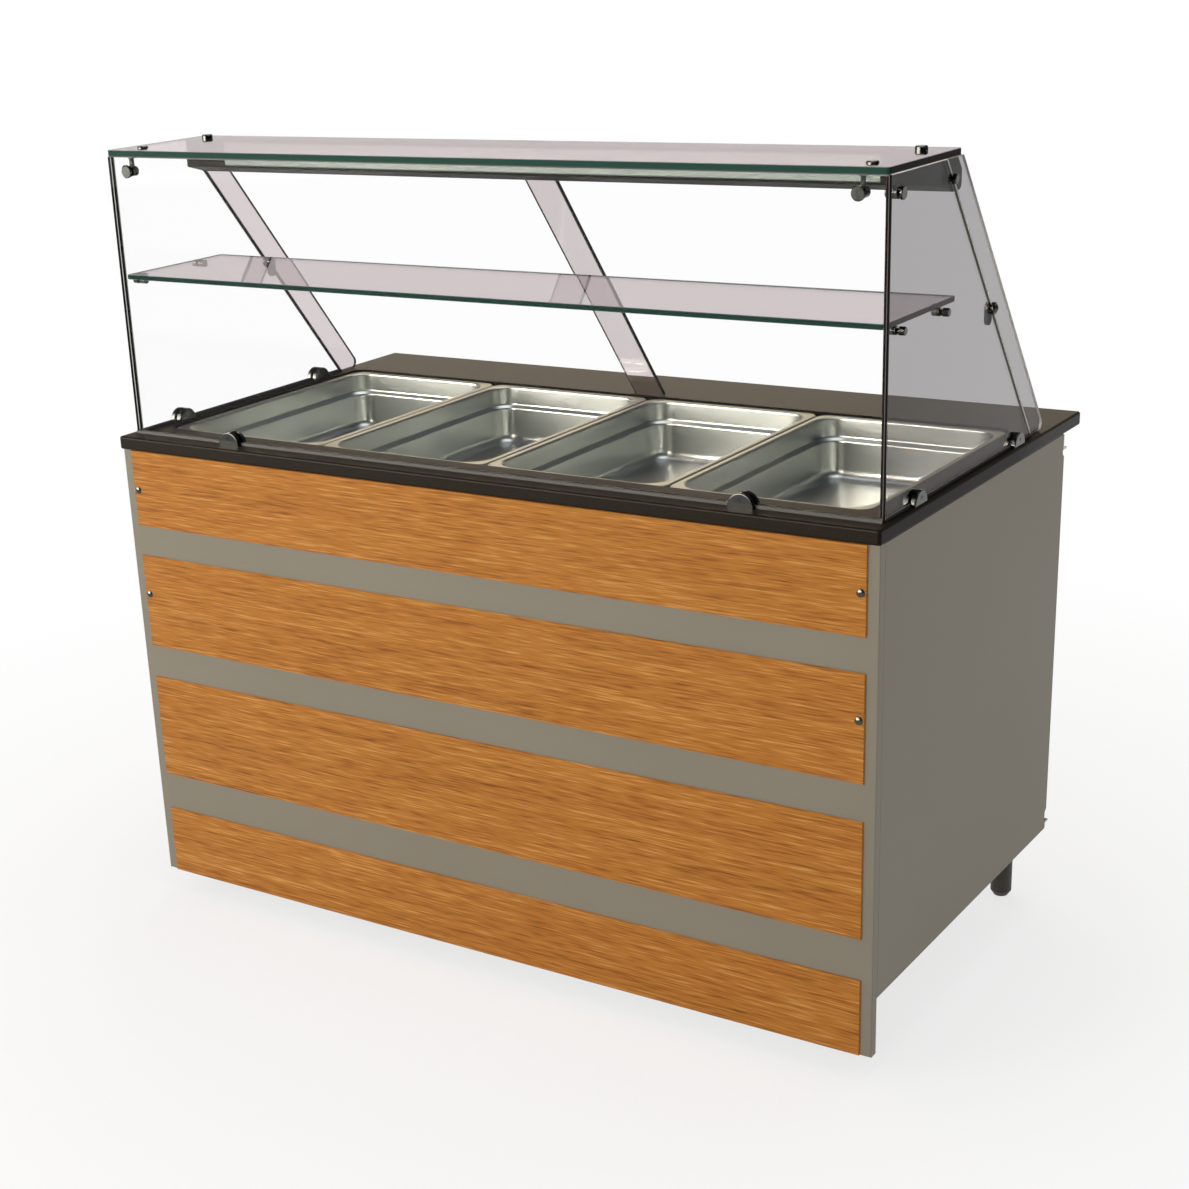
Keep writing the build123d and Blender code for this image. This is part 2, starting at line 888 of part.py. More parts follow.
# Lamp housing: keeled trough with a slanted back for the centre strut, open to the front between solid ends
lamp_back = strut_slice + glass_gap
lamp_rear = slope(lamp_kink) - lamp_back
lamp_floor = lamp_bottom + lamp_wall
lamp_sill = lamp_edge + lamp_wall
lamp_roof = pane_top - lamp_wall
with BuildPart() as lamp_housing:
    with BuildSketch(facing_right(-lamp_half)) as lamp_outline:
        Polygon(
            (lamp_front, lamp_edge),
            (lamp_keel, lamp_bottom),
            (lamp_rear, lamp_bottom),
            (lamp_rear, lamp_kink),
            (slope(pane_top) - lamp_back, pane_top),
            (lamp_front, pane_top),
            align=None,
        )
        fillet(lamp_outline.vertices().group_by(Axis.X)[-1].sort_by(Axis.Y)[0], lamp_round)
    extrude(amount=2 * lamp_half)
    with BuildSketch(facing_right(-lamp_window)):
        Polygon(
            (lamp_front, lamp_sill),
            (lamp_keel, lamp_floor),
            (lamp_rear - lamp_round, lamp_floor),
            (lamp_rear - lamp_wall, lamp_bottom + lamp_round),
            (lamp_rear - lamp_wall, lamp_kink),
            (slope(lamp_roof) - lamp_back - lamp_wall, lamp_roof),
            (lamp_front, lamp_roof),
            align=None,
        )
    extrude(amount=2 * lamp_window, mode=Mode.SUBTRACT)
    for side in (-1, 1):
        with Locations((side * cap_x, cap_rear, pane_top)):
            Cylinder(bolt_radius + clip_play, 2 * lamp_cap_grip + 4, mode=Mode.SUBTRACT)
        with Locations(Location((side * lamp_half, lamp_screw_y, lamp_screw_z), (0, 90, 0))):
            Cylinder(bolt_radius + clip_play, 2 * lamp_screw_grip + 4, mode=Mode.SUBTRACT)
save(lamp_housing, "lamp_housing")

with BuildPart() as lamp_diffuser:
    with BuildSketch(facing_right(-lamp_window + glass_gap)) as diffuser_outline:
        diffuser_y = lamp_front + glass_gap + diffuser_thickness / 2
        with Locations((diffuser_y, (lamp_sill + lamp_roof) / 2)):
            Rectangle(diffuser_thickness, lamp_roof - lamp_sill - 2 * clip_play)
        fillet(diffuser_outline.vertices().group_by(Axis.X)[0], diffuser_round)
    extrude(amount=2 * (lamp_window - glass_gap))
save(lamp_diffuser, "lamp_diffuser")

tube_end = lamp_window - clip_play
with BuildPart() as lamp_tube:
    turn(
        (0, tube_y, (lamp_bottom + pane_top) / 2),
        (1, 0, 0),
        (
            (0, -tube_end),
            (tube_radius + tube_collar, -tube_end),
            (tube_radius + tube_collar, tube_collar_length - tube_end),
            (tube_radius, tube_collar_length - tube_end),
            (tube_radius, tube_end - tube_collar_length),
            (tube_radius + tube_collar, tube_end - tube_collar_length),
            (tube_radius + tube_collar, tube_end),
            (0, tube_end),
        ),
    )
save(lamp_tube, "lamp_tube")

# Bolts of the lamp: capped ones through the top glass, round-headed ones through the side struts
with BuildPart() as lamp_bolts:
    for side in (-1, 1):
        turn(
            (side * cap_x, cap_rear, glass_top),
            (0, 0, 1),
            (
                (0, -top_thickness - lamp_cap_grip),
                (bolt_radius, -top_thickness - lamp_cap_grip),
                (bolt_radius, 0),
                (cap_radius, 0),
                (cap_radius, cap_height - cap_round),
                (cap_radius - cap_round, cap_height),
                (0, cap_height),
            ),
        )
        turn(
            (side * glass_half, lamp_screw_y, lamp_screw_z),
            (side, 0, 0),
            (
                (0, -pane_thickness - lamp_screw_grip),
                (bolt_radius, -pane_thickness - lamp_screw_grip),
                (bolt_radius, 0),
                (boss_radius - boss_round, 0),
                (boss_radius - boss_round, cap_height - cap_round),
                (boss_radius - boss_round - cap_round, cap_height),
                (0, cap_height),
            ),
        )
save(lamp_bolts, "lamp_bolts")


# Welded frame: angle rings at the bottom and top, corner posts, foam ledges, rear uprights, leg bosses
leg_spots = [(sx * leg_x, sy * leg_y) for sx in (-1, 1) for sy in (-1, 1)]
with BuildPart() as base_frame:
    with BuildSketch(level(side_bottom)):
        ring(2 * frame_half, frame_depth, angle_wall)
    extrude(amount=angle_leg)
    with BuildSketch(level(side_bottom)):
        ring(2 * frame_half, frame_depth, angle_leg)
        with Locations((0, frame_y)):
            with GridLocations(2 * frame_half - gusset, frame_depth - gusset, 2, 2):
                Rectangle(gusset, gusset)
    extrude(amount=angle_wall)
    with BuildSketch(level(frame_top - angle_leg)):
        ring(2 * frame_half, frame_depth, angle_wall)
    extrude(amount=angle_leg)
    with BuildSketch(level(frame_top - angle_wall)):
        for rail_y in (frame_front + angle_leg / 2, cabinet_rear - angle_leg / 2):
            with Locations((0, rail_y)):
                Rectangle(2 * frame_half, angle_leg)
    extrude(amount=angle_wall)
    with BuildSketch(level(side_bottom)):
        with Locations((0, frame_y)):
            with GridLocations(2 * frame_half - angle_leg, frame_depth - angle_leg, 2, 2):
                Rectangle(angle_leg, angle_leg)
            Rectangle(2 * (frame_half - angle_wall), frame_depth - 2 * angle_wall, mode=Mode.SUBTRACT)
    extrude(amount=frame_top - side_bottom)
    for side in (-1, 1):
        ledge_x = side * (frame_half - angle_leg / 2)
        with Locations((ledge_x, frame_y, ledge_height - angle_wall / 2)):
            Box(angle_leg, frame_depth, angle_wall)
        with Locations((side * (frame_half - angle_wall / 2), frame_y, ledge_height - angle_leg / 2)):
            Box(angle_wall, frame_depth, angle_leg)
    for upright_x in (bay_upright_x, mullion_x):
        with Locations((upright_x, cabinet_rear - angle_wall / 2, (side_bottom + frame_top) / 2)):
            Box(angle_leg, angle_wall, frame_top - side_bottom)
    with BuildSketch(level(side_bottom)):
        with Locations(leg_spots):
            Circle(2 * stem_radius)
    extrude(amount=stem_top - side_bottom)
    with BuildSketch(level(side_bottom)):
        with Locations(leg_spots):
            Circle(stem_radius + running_play)
    extrude(amount=stem_top - side_bottom, mode=Mode.SUBTRACT)
save(base_frame, "base_frame")


# Legs: tapered pad, round column and threaded stem
def make_leg(spot):
    with BuildPart() as leg:
        turn(
            (*spot, 0),
            (0, 0, 1),
            (
                (0, 0),
                (leg_pad, 0),
                (leg_radius, leg_taper),
                (leg_radius, leg_shoulder - leg_neck),
                (leg_radius - leg_neck_step, leg_shoulder - leg_neck + leg_neck_slope),
                (leg_radius - leg_neck_step, leg_shoulder),
                (stem_radius, leg_shoulder),
                (stem_radius, stem_top),
                (0, stem_top),
            ),
        )
    return leg


for spot in leg_spots:
    save(make_leg(spot), f"leg_{'front' if spot[1] < 0 else 'rear'}_{'left' if spot[0] < 0 else 'right'}")

# Base tray on the frame's bottom ring, open over the leg bosses
tray_half = frame_half - angle_wall - panel_gap
tray_depth = frame_depth - 2 * angle_wall - 2 * panel_gap
boss_room = 2 * stem_radius + 2
corner_notch = tray_half - leg_x + boss_room + 2
with BuildPart() as base_tray:
    with BuildSketch(level(tray_top - sheet)):
        with Locations((0, frame_y)):
            Rectangle(2 * tray_half, tray_depth)
            with GridLocations(2 * tray_half, tray_depth, 2, 2):
                Rectangle(2 * corner_notch, 2 * angle_leg, mode=Mode.SUBTRACT)
        with Locations(leg_spots):
            Circle(boss_room, mode=Mode.SUBTRACT)
    extrude(amount=sheet)
    for side in (-1, 1):
        with Locations((side * (tray_half - sheet / 2), frame_y, tray_top + tray_flange / 2)):
            Box(sheet, tray_depth - 2 * angle_leg - 2, tray_flange)
save(base_tray, "base_tray")


# Side panels: folded trays, open towards the inside
def make_side_panel(side):
    panel_front = cabinet_front + front_tray + panel_gap
    panel_depth = cabinet_rear - panel_front
    panel_height = frame_top - side_bottom
    centre = (panel_front + panel_depth / 2, side_bottom + panel_height / 2)
    with BuildPart() as panel:
        with BuildSketch(facing_right(side * cabinet_half)):
            with Locations(centre):
                Rectangle(panel_depth, panel_height)
        extrude(amount=-side * side_thickness)
        fillet(panel.faces().sort_by(Axis.X)[0 if side < 0 else -1].edges(), sheet)
        with BuildSketch(facing_right(side * (cabinet_half - sheet))):
            with Locations(centre):
                Rectangle(panel_depth - 2 * sheet, panel_height - 2 * sheet)
        extrude(amount=-side * side_thickness, mode=Mode.SUBTRACT)
    return panel


save(make_side_panel(-1), "left_side_panel")
save(make_side_panel(1), "right_side_panel")

# Front panel: a shallow tray with holes for the board screws
screw_spots = [(sx * screw_x, z) for sx in (-1, 1) for z in (screw_upper_z, screw_lower_z)]
front_height = frame_top - front_bottom
with BuildPart() as front_panel:
    with BuildSketch(facing_front(cabinet_front + front_tray)):
        with Locations((0, front_bottom + front_height / 2)):
            Rectangle(2 * cabinet_half, front_height)
    extrude(amount=front_tray)
    fillet(front_panel.faces().sort_by(Axis.Y)[0].edges(), sheet)
    with BuildSketch(facing_front(cabinet_front + front_tray)):
        with Locations((0, front_bottom + front_height / 2)):
            Rectangle(2 * (cabinet_half - sheet), front_height - 2 * sheet)
    extrude(amount=front_tray - sheet, mode=Mode.SUBTRACT)
    with BuildSketch(facing_front(cabinet_front + front_tray)):
        with Locations(screw_spots):
            Circle(screw_shank + clip_play)
    extrude(amount=front_tray, mode=Mode.SUBTRACT)
save(front_panel, "front_panel")


# Wood boards on the front panel
def make_board(low, high, screw_z):
    with BuildPart() as board:
        with BuildSketch(facing_front(cabinet_front)):
            with Locations((0, (low + high) / 2)):
                Rectangle(2 * board_half, high - low)
            if screw_z:
                with Locations((-screw_x, screw_z), (screw_x, screw_z)):
                    Circle(screw_shank + clip_play, mode=Mode.SUBTRACT)
        extrude(amount=board_thickness)
        chamfer(board.faces().sort_by(Axis.Y)[0].outer_wire().edges(), glass_edge)
    return board


save(make_board(board_1_low, frame_top - panel_gap, screw_upper_z), "front_board_1")
save(make_board(board_2_low, board_2_high, screw_lower_z), "front_board_2")
save(make_board(board_3_low, board_3_high, None), "front_board_3")
save(make_board(front_bottom, board_4_high, None), "front_board_4")

board_face = cabinet_front - board_thickness
with BuildPart() as board_screws:
    for x, z in screw_spots:
        turn(
            (x, board_face, z),
            (0, -1, 0),
            (
                (0, -board_thickness - front_tray / 2),
                (screw_shank, -board_thickness - front_tray / 2),
                (screw_shank, 0),
                (screw_head, 0),
                (screw_head - 0.6, screw_dome * 0.45),
                (screw_head - 2.2, screw_dome * 0.8),
                (screw_head - 4.2, screw_dome),
                (0, screw_dome),
            ),
        )
save(board_screws, "board_screws")

# Partition between the machine bay and the cupboard, its edges folded over
partition_front = frame_front + angle_leg + 1
partition_rear = cabinet_rear - angle_leg - 1
with BuildPart() as partition_panel:
    with BuildSketch(level(tray_top)):
        with Locations((bay_x, (partition_front + partition_rear) / 2)):
            Rectangle(sheet, partition_rear - partition_front)
        for edge_y in (partition_front, partition_rear):
            with Locations((bay_x + partition_fold / 2, edge_y)):
                Rectangle(partition_fold + sheet, sheet)
    extrude(amount=foam_bottom - tray_top - panel_gap)
save(partition_panel, "partition_panel")


# Rear doors: bevelled trays with hinge blocks inside their hinged edge
def make_door(ends, hinge_x):
    width = ends[1] - ends[0]
    centre_x = (ends[0] + ends[1]) / 2
    height = door_top - door_bottom
    inward = 1 if hinge_x < centre_x else -1
    with BuildPart() as door:
        with Locations((centre_x, (door_back + door_face) / 2, (door_top + door_bottom) / 2)):
            Box(width, door_face - door_back, height)
        outer = door.faces().sort_by(Axis.Y)[-1]
        chamfer(outer.edges().filter_by(Axis.X), door_bevel - door_gap)
        offset(amount=-door_sheet, openings=door.faces().sort_by(Axis.Y)[0], kind=Kind.INTERSECTION)
        for block_z in (door_bottom + hinge_block_inset, door_top - hinge_block_inset):
            with Locations((hinge_x + inward * hinge_block_shift, hinge_y, block_z)):
                Box(*hinge_block)
        for end_z in (door_bottom, door_top):
            with Locations((hinge_x, hinge_y, end_z)):
                Cylinder(pin_radius + running_play, 2 * pin_length, mode=Mode.SUBTRACT)
    return door


left_hinge_x = left_door_x[0] + hinge_inset
right_hinge_x = right_door_x[1] - hinge_inset
save(make_door(left_door_x, left_hinge_x), "left_door")
save(make_door(right_door_x, right_hinge_x), "right_door")

# Hinge brackets: angle plates above and below each door, each with a pin
with BuildPart() as door_hinges:
    for hinge_x in (left_hinge_x, right_hinge_x):
        for plate_z, away, edge_z in ((door_top, 1, frame_top), (door_bottom, -1, side_bottom)):
            shelf_z = plate_z + away * panel_gap
            tab_low, tab_high = sorted((shelf_z, edge_z - away * bracket_margin))
            with Locations((hinge_x, cabinet_rear + bracket_plate / 2, (tab_low + tab_high) / 2)):
                Box(bracket_width, bracket_plate, tab_high - tab_low)
            with Locations((hinge_x, cabinet_rear + bracket_reach / 2, shelf_z + away * bracket_plate / 2)):
                Box(bracket_width, bracket_reach, bracket_plate)
            with Locations((hinge_x, hinge_y, shelf_z - away * pin_length / 2 + away)):
                Cylinder(pin_radius, pin_length - 2)
save(door_hinges, "door_hinges")


# Bow handles near the free edge of each door
def make_handle(handle_x):
    with BuildPart() as handle:
        pipe(
            (
                (handle_x, door_face, handle_low),
                (handle_x, door_face + handle_reach, handle_low),
                (handle_x, door_face + handle_reach, handle_low + handle_span),
                (handle_x, door_face, handle_low + handle_span),
            ),
            handle_radius,
            handle_bend,
        )
    return handle


save(make_handle(left_door_x[1] - handle_inset), "left_door_handle")
save(make_handle(right_door_x[0] + handle_inset), "right_door_handle")

# Machine cover: sheet with two columns of pressed louvres, hooded and open below
cover_back = cabinet_rear + clip_play
cover_face = cover_back + sheet
cover_x = (cover_left + cover_right) / 2
louvre_base = cover_low + louvre_start
with BuildPart() as machine_cover:
    with BuildSketch(facing_front(cover_face)):
        with Locations((cover_x, (cover_low + cover_high) / 2)):
            RectangleRounded(cover_right - cover_left, cover_high - cover_low, cover_corner)
        with Locations((gland_x, gland_z)):
            Circle(gland_thread + clip_play, mode=Mode.SUBTRACT)
    extrude(amount=sheet)
    for column in (-1, 1):
        louvre_left = cover_x + column * (louvre_length + louvre_gap) / 2 - louvre_length / 2
        for row in range(louvre_rows):
            low = louvre_base + row * louvre_pitch
            with BuildSketch(facing_right(louvre_left)):
                Polygon(
                    (cover_back, low),
                    (cover_face + louvre_reach, low),
                    (cover_face + louvre_reach, low + louvre_nose),
                    (cover_face, low + louvre_rise),
                    (cover_back, low + louvre_rise),
                    align=None,
                )
            extrude(amount=louvre_length)
            with BuildSketch(facing_right(louvre_left + sheet)):
                Polygon(
                    (cover_back, low),
                    (cover_face + louvre_reach - sheet, low),
                    (cover_face + louvre_reach - sheet, low + louvre_nose / 2),
                    (cover_back, low + louvre_rise - louvre_nose / 2),
                    align=None,
                )
            extrude(amount=louvre_length - 2 * sheet, mode=Mode.SUBTRACT)
save(machine_cover, "machine_cover")

# Cable gland: hexagon body, dome nut and lock nut, bored for a cord
with BuildPart() as cable_gland:
    gland_spot = (gland_x, gland_z)
    with BuildSketch(facing_front(cover_face)):
        with Locations(gland_spot):
            RegularPolygon(gland_hexagon, 6)
    extrude(amount=-gland_flange)
    with BuildSketch(facing_front(cover_face + gland_flange)):
        with Locations(gland_spot):
            Circle(gland_dome)
    extrude(amount=-gland_dome_length, taper=gland_dome_taper)
    with BuildSketch(facing_front(cover_face)):
        with Locations(gland_spot):
            Circle(gland_thread)
    extrude(amount=gland_thread_length)
    with BuildSketch(facing_front(cover_back)):
        with Locations(gland_spot):
            RegularPolygon(gland_hexagon, 6)
    extrude(amount=gland_nut)
    with Locations(Location((gland_spot[0], cover_face, gland_spot[1]), (90, 0, 0))):
        Cylinder(gland_bore, 4 * gland_thread_length + 2 * gland_flange, mode=Mode.SUBTRACT)
save(cable_gland, "cable_gland")

# Control fascia: moulded plate with a thermostat cut-out and two switch frames
fascia_back = cabinet_rear + clip_play
fascia_face = fascia_back + fascia_thickness
pocket_width = rocker_width + 2 * rocker_play
pocket_height = rocker_height + 2 * rocker_swing
pivot_y = fascia_back - switch_pivot_depth
with BuildPart() as control_fascia:
    with BuildSketch(facing_front(fascia_face)):
        with Locations((cover_x, (fascia_low + fascia_high) / 2)):
            RectangleRounded(cover_right - cover_left, fascia_high - fascia_low, fascia_corner)
    extrude(amount=fascia_thickness)
    fillet(control_fascia.faces().sort_by(Axis.Y)[-1].edges(), fascia_round)
    with BuildSketch(facing_front(fascia_face)):
        with Locations((thermostat_x, fascia_z)):
            Rectangle(thermostat_body + 2 * key_play, thermostat_body_height + 2 * key_play)
    extrude(amount=fascia_thickness, mode=Mode.SUBTRACT)
    for x in rocker_x:
        with BuildSketch(facing_front(fascia_face + switch_frame_rise)):
            with Locations((x, fascia_z)):
                outer_width = pocket_width + 2 * switch_frame
                outer_height = pocket_height + 2 * switch_frame
                RectangleRounded(outer_width, outer_height, switch_frame_corner)
        extrude(amount=switch_depth)
        with BuildSketch(facing_front(fascia_face + switch_frame_rise)):
            with Locations((x, fascia_z)):
                Rectangle(pocket_width, pocket_height)
        extrude(amount=switch_bore, mode=Mode.SUBTRACT)
        with Locations(Location((x, pivot_y, fascia_z), (0, 90, 0))):
            Cylinder(rocker_pin + running_play, pocket_width + 2 * switch_pivot_depth, mode=Mode.SUBTRACT)
save(control_fascia, "control_fascia")


# Rocker keys: dished face, rounded ends, two side pins; at rest the lower half stands proud
def make_rocker(x):
    half = rocker_height / 2
    with BuildPart() as rocker:
        tilt = Plane(origin=(x - rocker_width / 2, pivot_y, fascia_z), x_dir=(0, 1, 0), z_dir=(1, 0, 0))
        with BuildSketch(tilt.rotated((rocker_tilt, 0, 0))):
            with BuildLine():
                face_mid = (rocker_face - rocker_dish, 0)
                face_top = (rocker_face, half - rocker_edge)
                face_low = (rocker_face, rocker_edge - half)
                ThreePointArc(face_low, face_mid, face_top)
                Polyline(
                    face_top,
                    (rocker_shoulder, half - rocker_edge / 3),
                    (rocker_waist, half - 4 * rocker_edge / 3),
                    (-rocker_heel, rocker_heel_half),
                    (-rocker_heel, -rocker_heel_half),
                    (rocker_waist, 4 * rocker_edge / 3 - half),
                    (rocker_shoulder, rocker_edge / 3 - half),
                    face_low,
                )
            make_face()
        extrude(amount=rocker_width)
        with Locations(Location((x, pivot_y, fascia_z), (0, 90, 0))):
            Cylinder(rocker_pin, pocket_width + switch_frame)
    return rocker


save(make_rocker(rocker_x[0]), "rocker_cooling")
save(make_rocker(rocker_x[1]), "rocker_lamp")

# Thermostat: bezel on the fascia, body behind it, sunk display window and two key wells
key_spots = [(thermostat_x + key_x, fascia_z + key_spread), (thermostat_x + key_x, fascia_z - key_spread)]
bezel_face = fascia_face + bezel_rise
with BuildPart() as thermostat:
    with BuildSketch(facing_front(bezel_face)):
        with Locations((thermostat_x, fascia_z)):
            RectangleRounded(thermostat_width, thermostat_height, thermostat_corner)
    extrude(amount=bezel_rise)
    fillet(thermostat.faces().sort_by(Axis.Y)[-1].edges(), bezel_round)
    with BuildSketch(facing_front(fascia_face)):
        with Locations((thermostat_x, fascia_z)):
            Rectangle(thermostat_body, thermostat_body_height)
    extrude(amount=thermostat_depth)
    with BuildSketch(facing_front(bezel_face)):
        with Locations((thermostat_x - window_shift, fascia_z)):
            RectangleRounded(window_width, window_height, window_corner)
    extrude(amount=window_depth, mode=Mode.SUBTRACT)
    with BuildSketch(facing_front(bezel_face)):
        with Locations(key_spots):
            RectangleRounded(key_width + 2 * key_play, key_height + 2 * key_play, key_corner + key_play)
    extrude(amount=key_well, mode=Mode.SUBTRACT)
save(thermostat, "thermostat")


def make_key(spot):
    with BuildPart() as key:
        with BuildSketch(facing_front(bezel_face + key_rise)):
            with Locations(spot):
                RectangleRounded(key_width, key_height, key_corner)
        extrude(amount=key_rise + key_well - key_travel - key_play)
        fillet(key.faces().sort_by(Axis.Y)[-1].edges(), key_round)
    return key


save(make_key(key_spots[0]), "thermostat_key_up")
save(make_key(key_spots[1]), "thermostat_key_down")

# Compressor: domed shell with a seam lip on a slotted base plate, terminal box and two pipe stubs
shell_base = tray_top + mount_height
port_z = shell_base + port_rise
with BuildPart() as compressor:
    shell_foot = (unit_x, compressor_y, shell_base)
    with BuildSketch(Plane(origin=shell_foot, x_dir=(1, 0, 0), z_dir=(0, -1, 0))) as shell:
        Polygon(
            (0, 0),
            (shell_radius, 0),
            (shell_radius, shell_height * shell_seam_low),
            (shell_radius + shell_seam_lip, shell_height * shell_seam_low),
            (shell_radius + shell_seam_lip, shell_height * shell_seam_high),
            (shell_radius, shell_height * shell_seam_high),
            (shell_radius, shell_height),
            (0, shell_height),
            align=None,
        )
        corners = shell.vertices().filter_by(lambda v: abs(v.X - shell_radius) < 0.1).sort_by(Axis.Y)
        fillet(corners[0], shell_foot_round)
        fillet(corners[-1], shell_dome_round)
    revolve(axis=Axis((unit_x, compressor_y, 0), (0, 0, 1)))
    with BuildSketch(level(shell_base + 1 - base_plate_thickness)):
        with Locations((unit_x, compressor_y)):
            RectangleRounded(*base_plate, base_plate_corner)
    extrude(amount=base_plate_thickness)
    with BuildSketch(level(tray_top)):
        with Locations((unit_x, compressor_y)):
            with GridLocations(*mount_spacing, 2, 2):
                Circle(mount_radius)
    extrude(amount=shell_base - tray_top)
    with Locations((unit_x + terminal_x, compressor_y - shell_radius, port_z + terminal_rise)):
        Box(*terminal_box)
    with Locations(Location((unit_x, compressor_y, port_z), (0, 90, 0))):
        Cylinder(port_radius, 2 * (shell_radius + port_reach))
save(compressor, "compressor")

# Condenser: core between finned faces, with return bends at both ends
core_bottom = tray_top
with BuildPart() as condenser_coil:
    with Locations((unit_x, coil_block_y + coil_block_depth / 2, core_bottom + coil_block_height / 2)):
        Box(2 * coil_block_half, coil_block_depth - 2 * fin_reach, coil_block_height)
    fin_pitch = 2 * (coil_block_half - fin_margin) / (fin_count - 1)
    with BuildSketch(level(core_bottom)):
        with Locations((unit_x, coil_block_y + coil_block_depth / 2)):
            with GridLocations(fin_pitch, 1, fin_count, 1):
                Rectangle(fin_thickness, coil_block_depth)
    extrude(amount=coil_block_height)
    for bend in range(return_bends):
        bend_z = core_bottom + return_first + bend * return_pitch
        for side in (-1, 1):
            end_x = unit_x + side * coil_block_half
            bend_y = coil_block_y + coil_block_depth / 2
            pipe(
                (
                    (end_x - side * fin_margin, bend_y, bend_z),
                    (end_x + side * return_reach, bend_y, bend_z),
                    (end_x + side * return_reach, bend_y, bend_z + return_height),
                    (end_x - side * fin_margin, bend_y, bend_z + return_height),
                ),
                return_radius,
                return_bend,
            )
save(condenser_coil, "condenser_coil")

# Fan shroud: plate on the condenser with a round duct and three arms that hold the motor
plate_y = coil_block_y - panel_gap
duct_front = plate_y - shroud_depth
with BuildPart() as fan_shroud:
    with BuildSketch(facing_front(plate_y)):
        with Locations((unit_x, core_bottom + coil_block_height / 2)):
            RectangleRounded(2 * coil_block_half, coil_block_height, shroud_corner)
        with Locations((unit_x, fan_z)):
            Circle(duct_radius, mode=Mode.SUBTRACT)
    extrude(amount=shroud_sheet)
    with BuildSketch(facing_front(plate_y)):
        with Locations((unit_x, fan_z)):
            Circle(duct_radius + shroud_sheet)
            Circle(duct_radius, mode=Mode.SUBTRACT)
    extrude(amount=shroud_depth)
    with BuildSketch(facing_front(duct_front + shroud_arm_thickness)):
        with Locations((unit_x, fan_z)):
            with PolarLocations((duct_radius + motor_radius) / 2 + 2, shroud_arms, 90):
                Rectangle(duct_radius - motor_radius, shroud_arm_width)
            Circle(motor_radius + shroud_ring)
            Circle(motor_radius + clip_play, mode=Mode.SUBTRACT)
    extrude(amount=shroud_arm_thickness)
save(fan_shroud, "fan_shroud")

fan_spot = (unit_x, duct_front + shroud_arm_thickness, fan_z)
with BuildPart() as fan_motor:
    turn(
        fan_spot,
        (0, 1, 0),
        (
            (0, -motor_length),
            (motor_radius - motor_step, -motor_length),
            (motor_radius, motor_slope - motor_length),
            (motor_radius, 0),
            (shaft_radius, 0),
            (shaft_radius, hub_length),
            (0, hub_length),
        ),
    )
save(fan_motor, "fan_motor")

# Fan: hub on the motor shaft and twisted blades
with BuildPart() as blade:
    root = (hub_radius - hub_sunk, blade_root_chord, blade_root_pitch)
    tip = (blade_tip, blade_tip_chord, blade_tip_pitch)
    for reach, chord, pitch in (root, tip):
        lean = (0, cos(radians(pitch)), sin(radians(pitch)))
        with BuildSketch(Plane(origin=(reach, 0, 0), x_dir=lean, z_dir=(1, 0, 0))):
            RectangleRounded(chord, blade_thickness, blade_corner)
    loft()

hub_y = fan_spot[1] + hub_clear
with BuildPart() as fan_blades:
    turn(
        (unit_x, hub_y, fan_z),
        (0, 1, 0),
        (
            (shaft_radius + running_play, 0),
            (hub_radius, 0),
            (hub_radius, hub_length),
            (hub_radius - hub_nose_step, hub_length + hub_nose),
            (0, hub_length + hub_nose),
            (0, hub_length),
            (shaft_radius + running_play, hub_length),
        ),
    )
    blade_centre = (unit_x, hub_y + hub_length / 2 + 1, fan_z)
    with Locations(Plane(origin=blade_centre, x_dir=(1, 0, 0), z_dir=(0, 1, 0))):
        with PolarLocations(0, blade_count):
            add(blade.part)
save(fan_blades, "fan_blades")

# Refrigerant lines: suction, discharge, and the liquid line with its filter drier
port_left = unit_x - shell_radius - port_reach
port_right = unit_x + shell_radius + port_reach
line_end = foam_bottom - coil_tail - clip_play
line_x = unit_x + coil_block_half + line_right
coil_port_y = coil_block_y + coil_block_depth / 2
drier_x = coil_left - drier_offset
drier_y = coil_last_y
with BuildPart() as refrigerant_lines:
    pipe(
        (
            (coil_left, coil_first_y, line_end),
            (coil_left, coil_first_y, port_z),
            (coil_left, compressor_y, port_z),
            (port_left, compressor_y, port_z),
        ),
        coil_radius,
        line_bend,
    )
    pipe(
        (
            (port_right, compressor_y, port_z),
            (line_x, compressor_y, port_z),
            (line_x, coil_port_y, port_z),
            (line_x, coil_port_y, core_bottom + line_high),
            (unit_x + coil_block_half, coil_port_y, core_bottom + line_high),
        ),
        coil_radius,
        line_bend,
    )
    pipe(
        (
            (unit_x - coil_block_half, coil_port_y, core_bottom + line_low),
            (drier_x, coil_port_y, core_bottom + line_low),
            (drier_x, drier_y, core_bottom + line_low),
            (drier_x, drier_y, line_end - line_drop),
            (coil_left, coil_last_y, line_end - line_drop),
            (coil_left, coil_last_y, line_end),
        ),
        liquid_radius,
        line_bend,
    )
    turn(
        (drier_x, drier_y, drier_z),
        (0, 0, 1),
        (
            (0, 0),
            (drier_neck, 0),
            (drier_radius, drier_cone),
            (drier_radius, drier_length - drier_cone),
            (drier_neck, drier_length),
            (0, drier_length),
        ),
    )
save(refrigerant_lines, "refrigerant_lines")
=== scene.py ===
import math
import bmesh
import bpy
from mathutils import Matrix, Vector


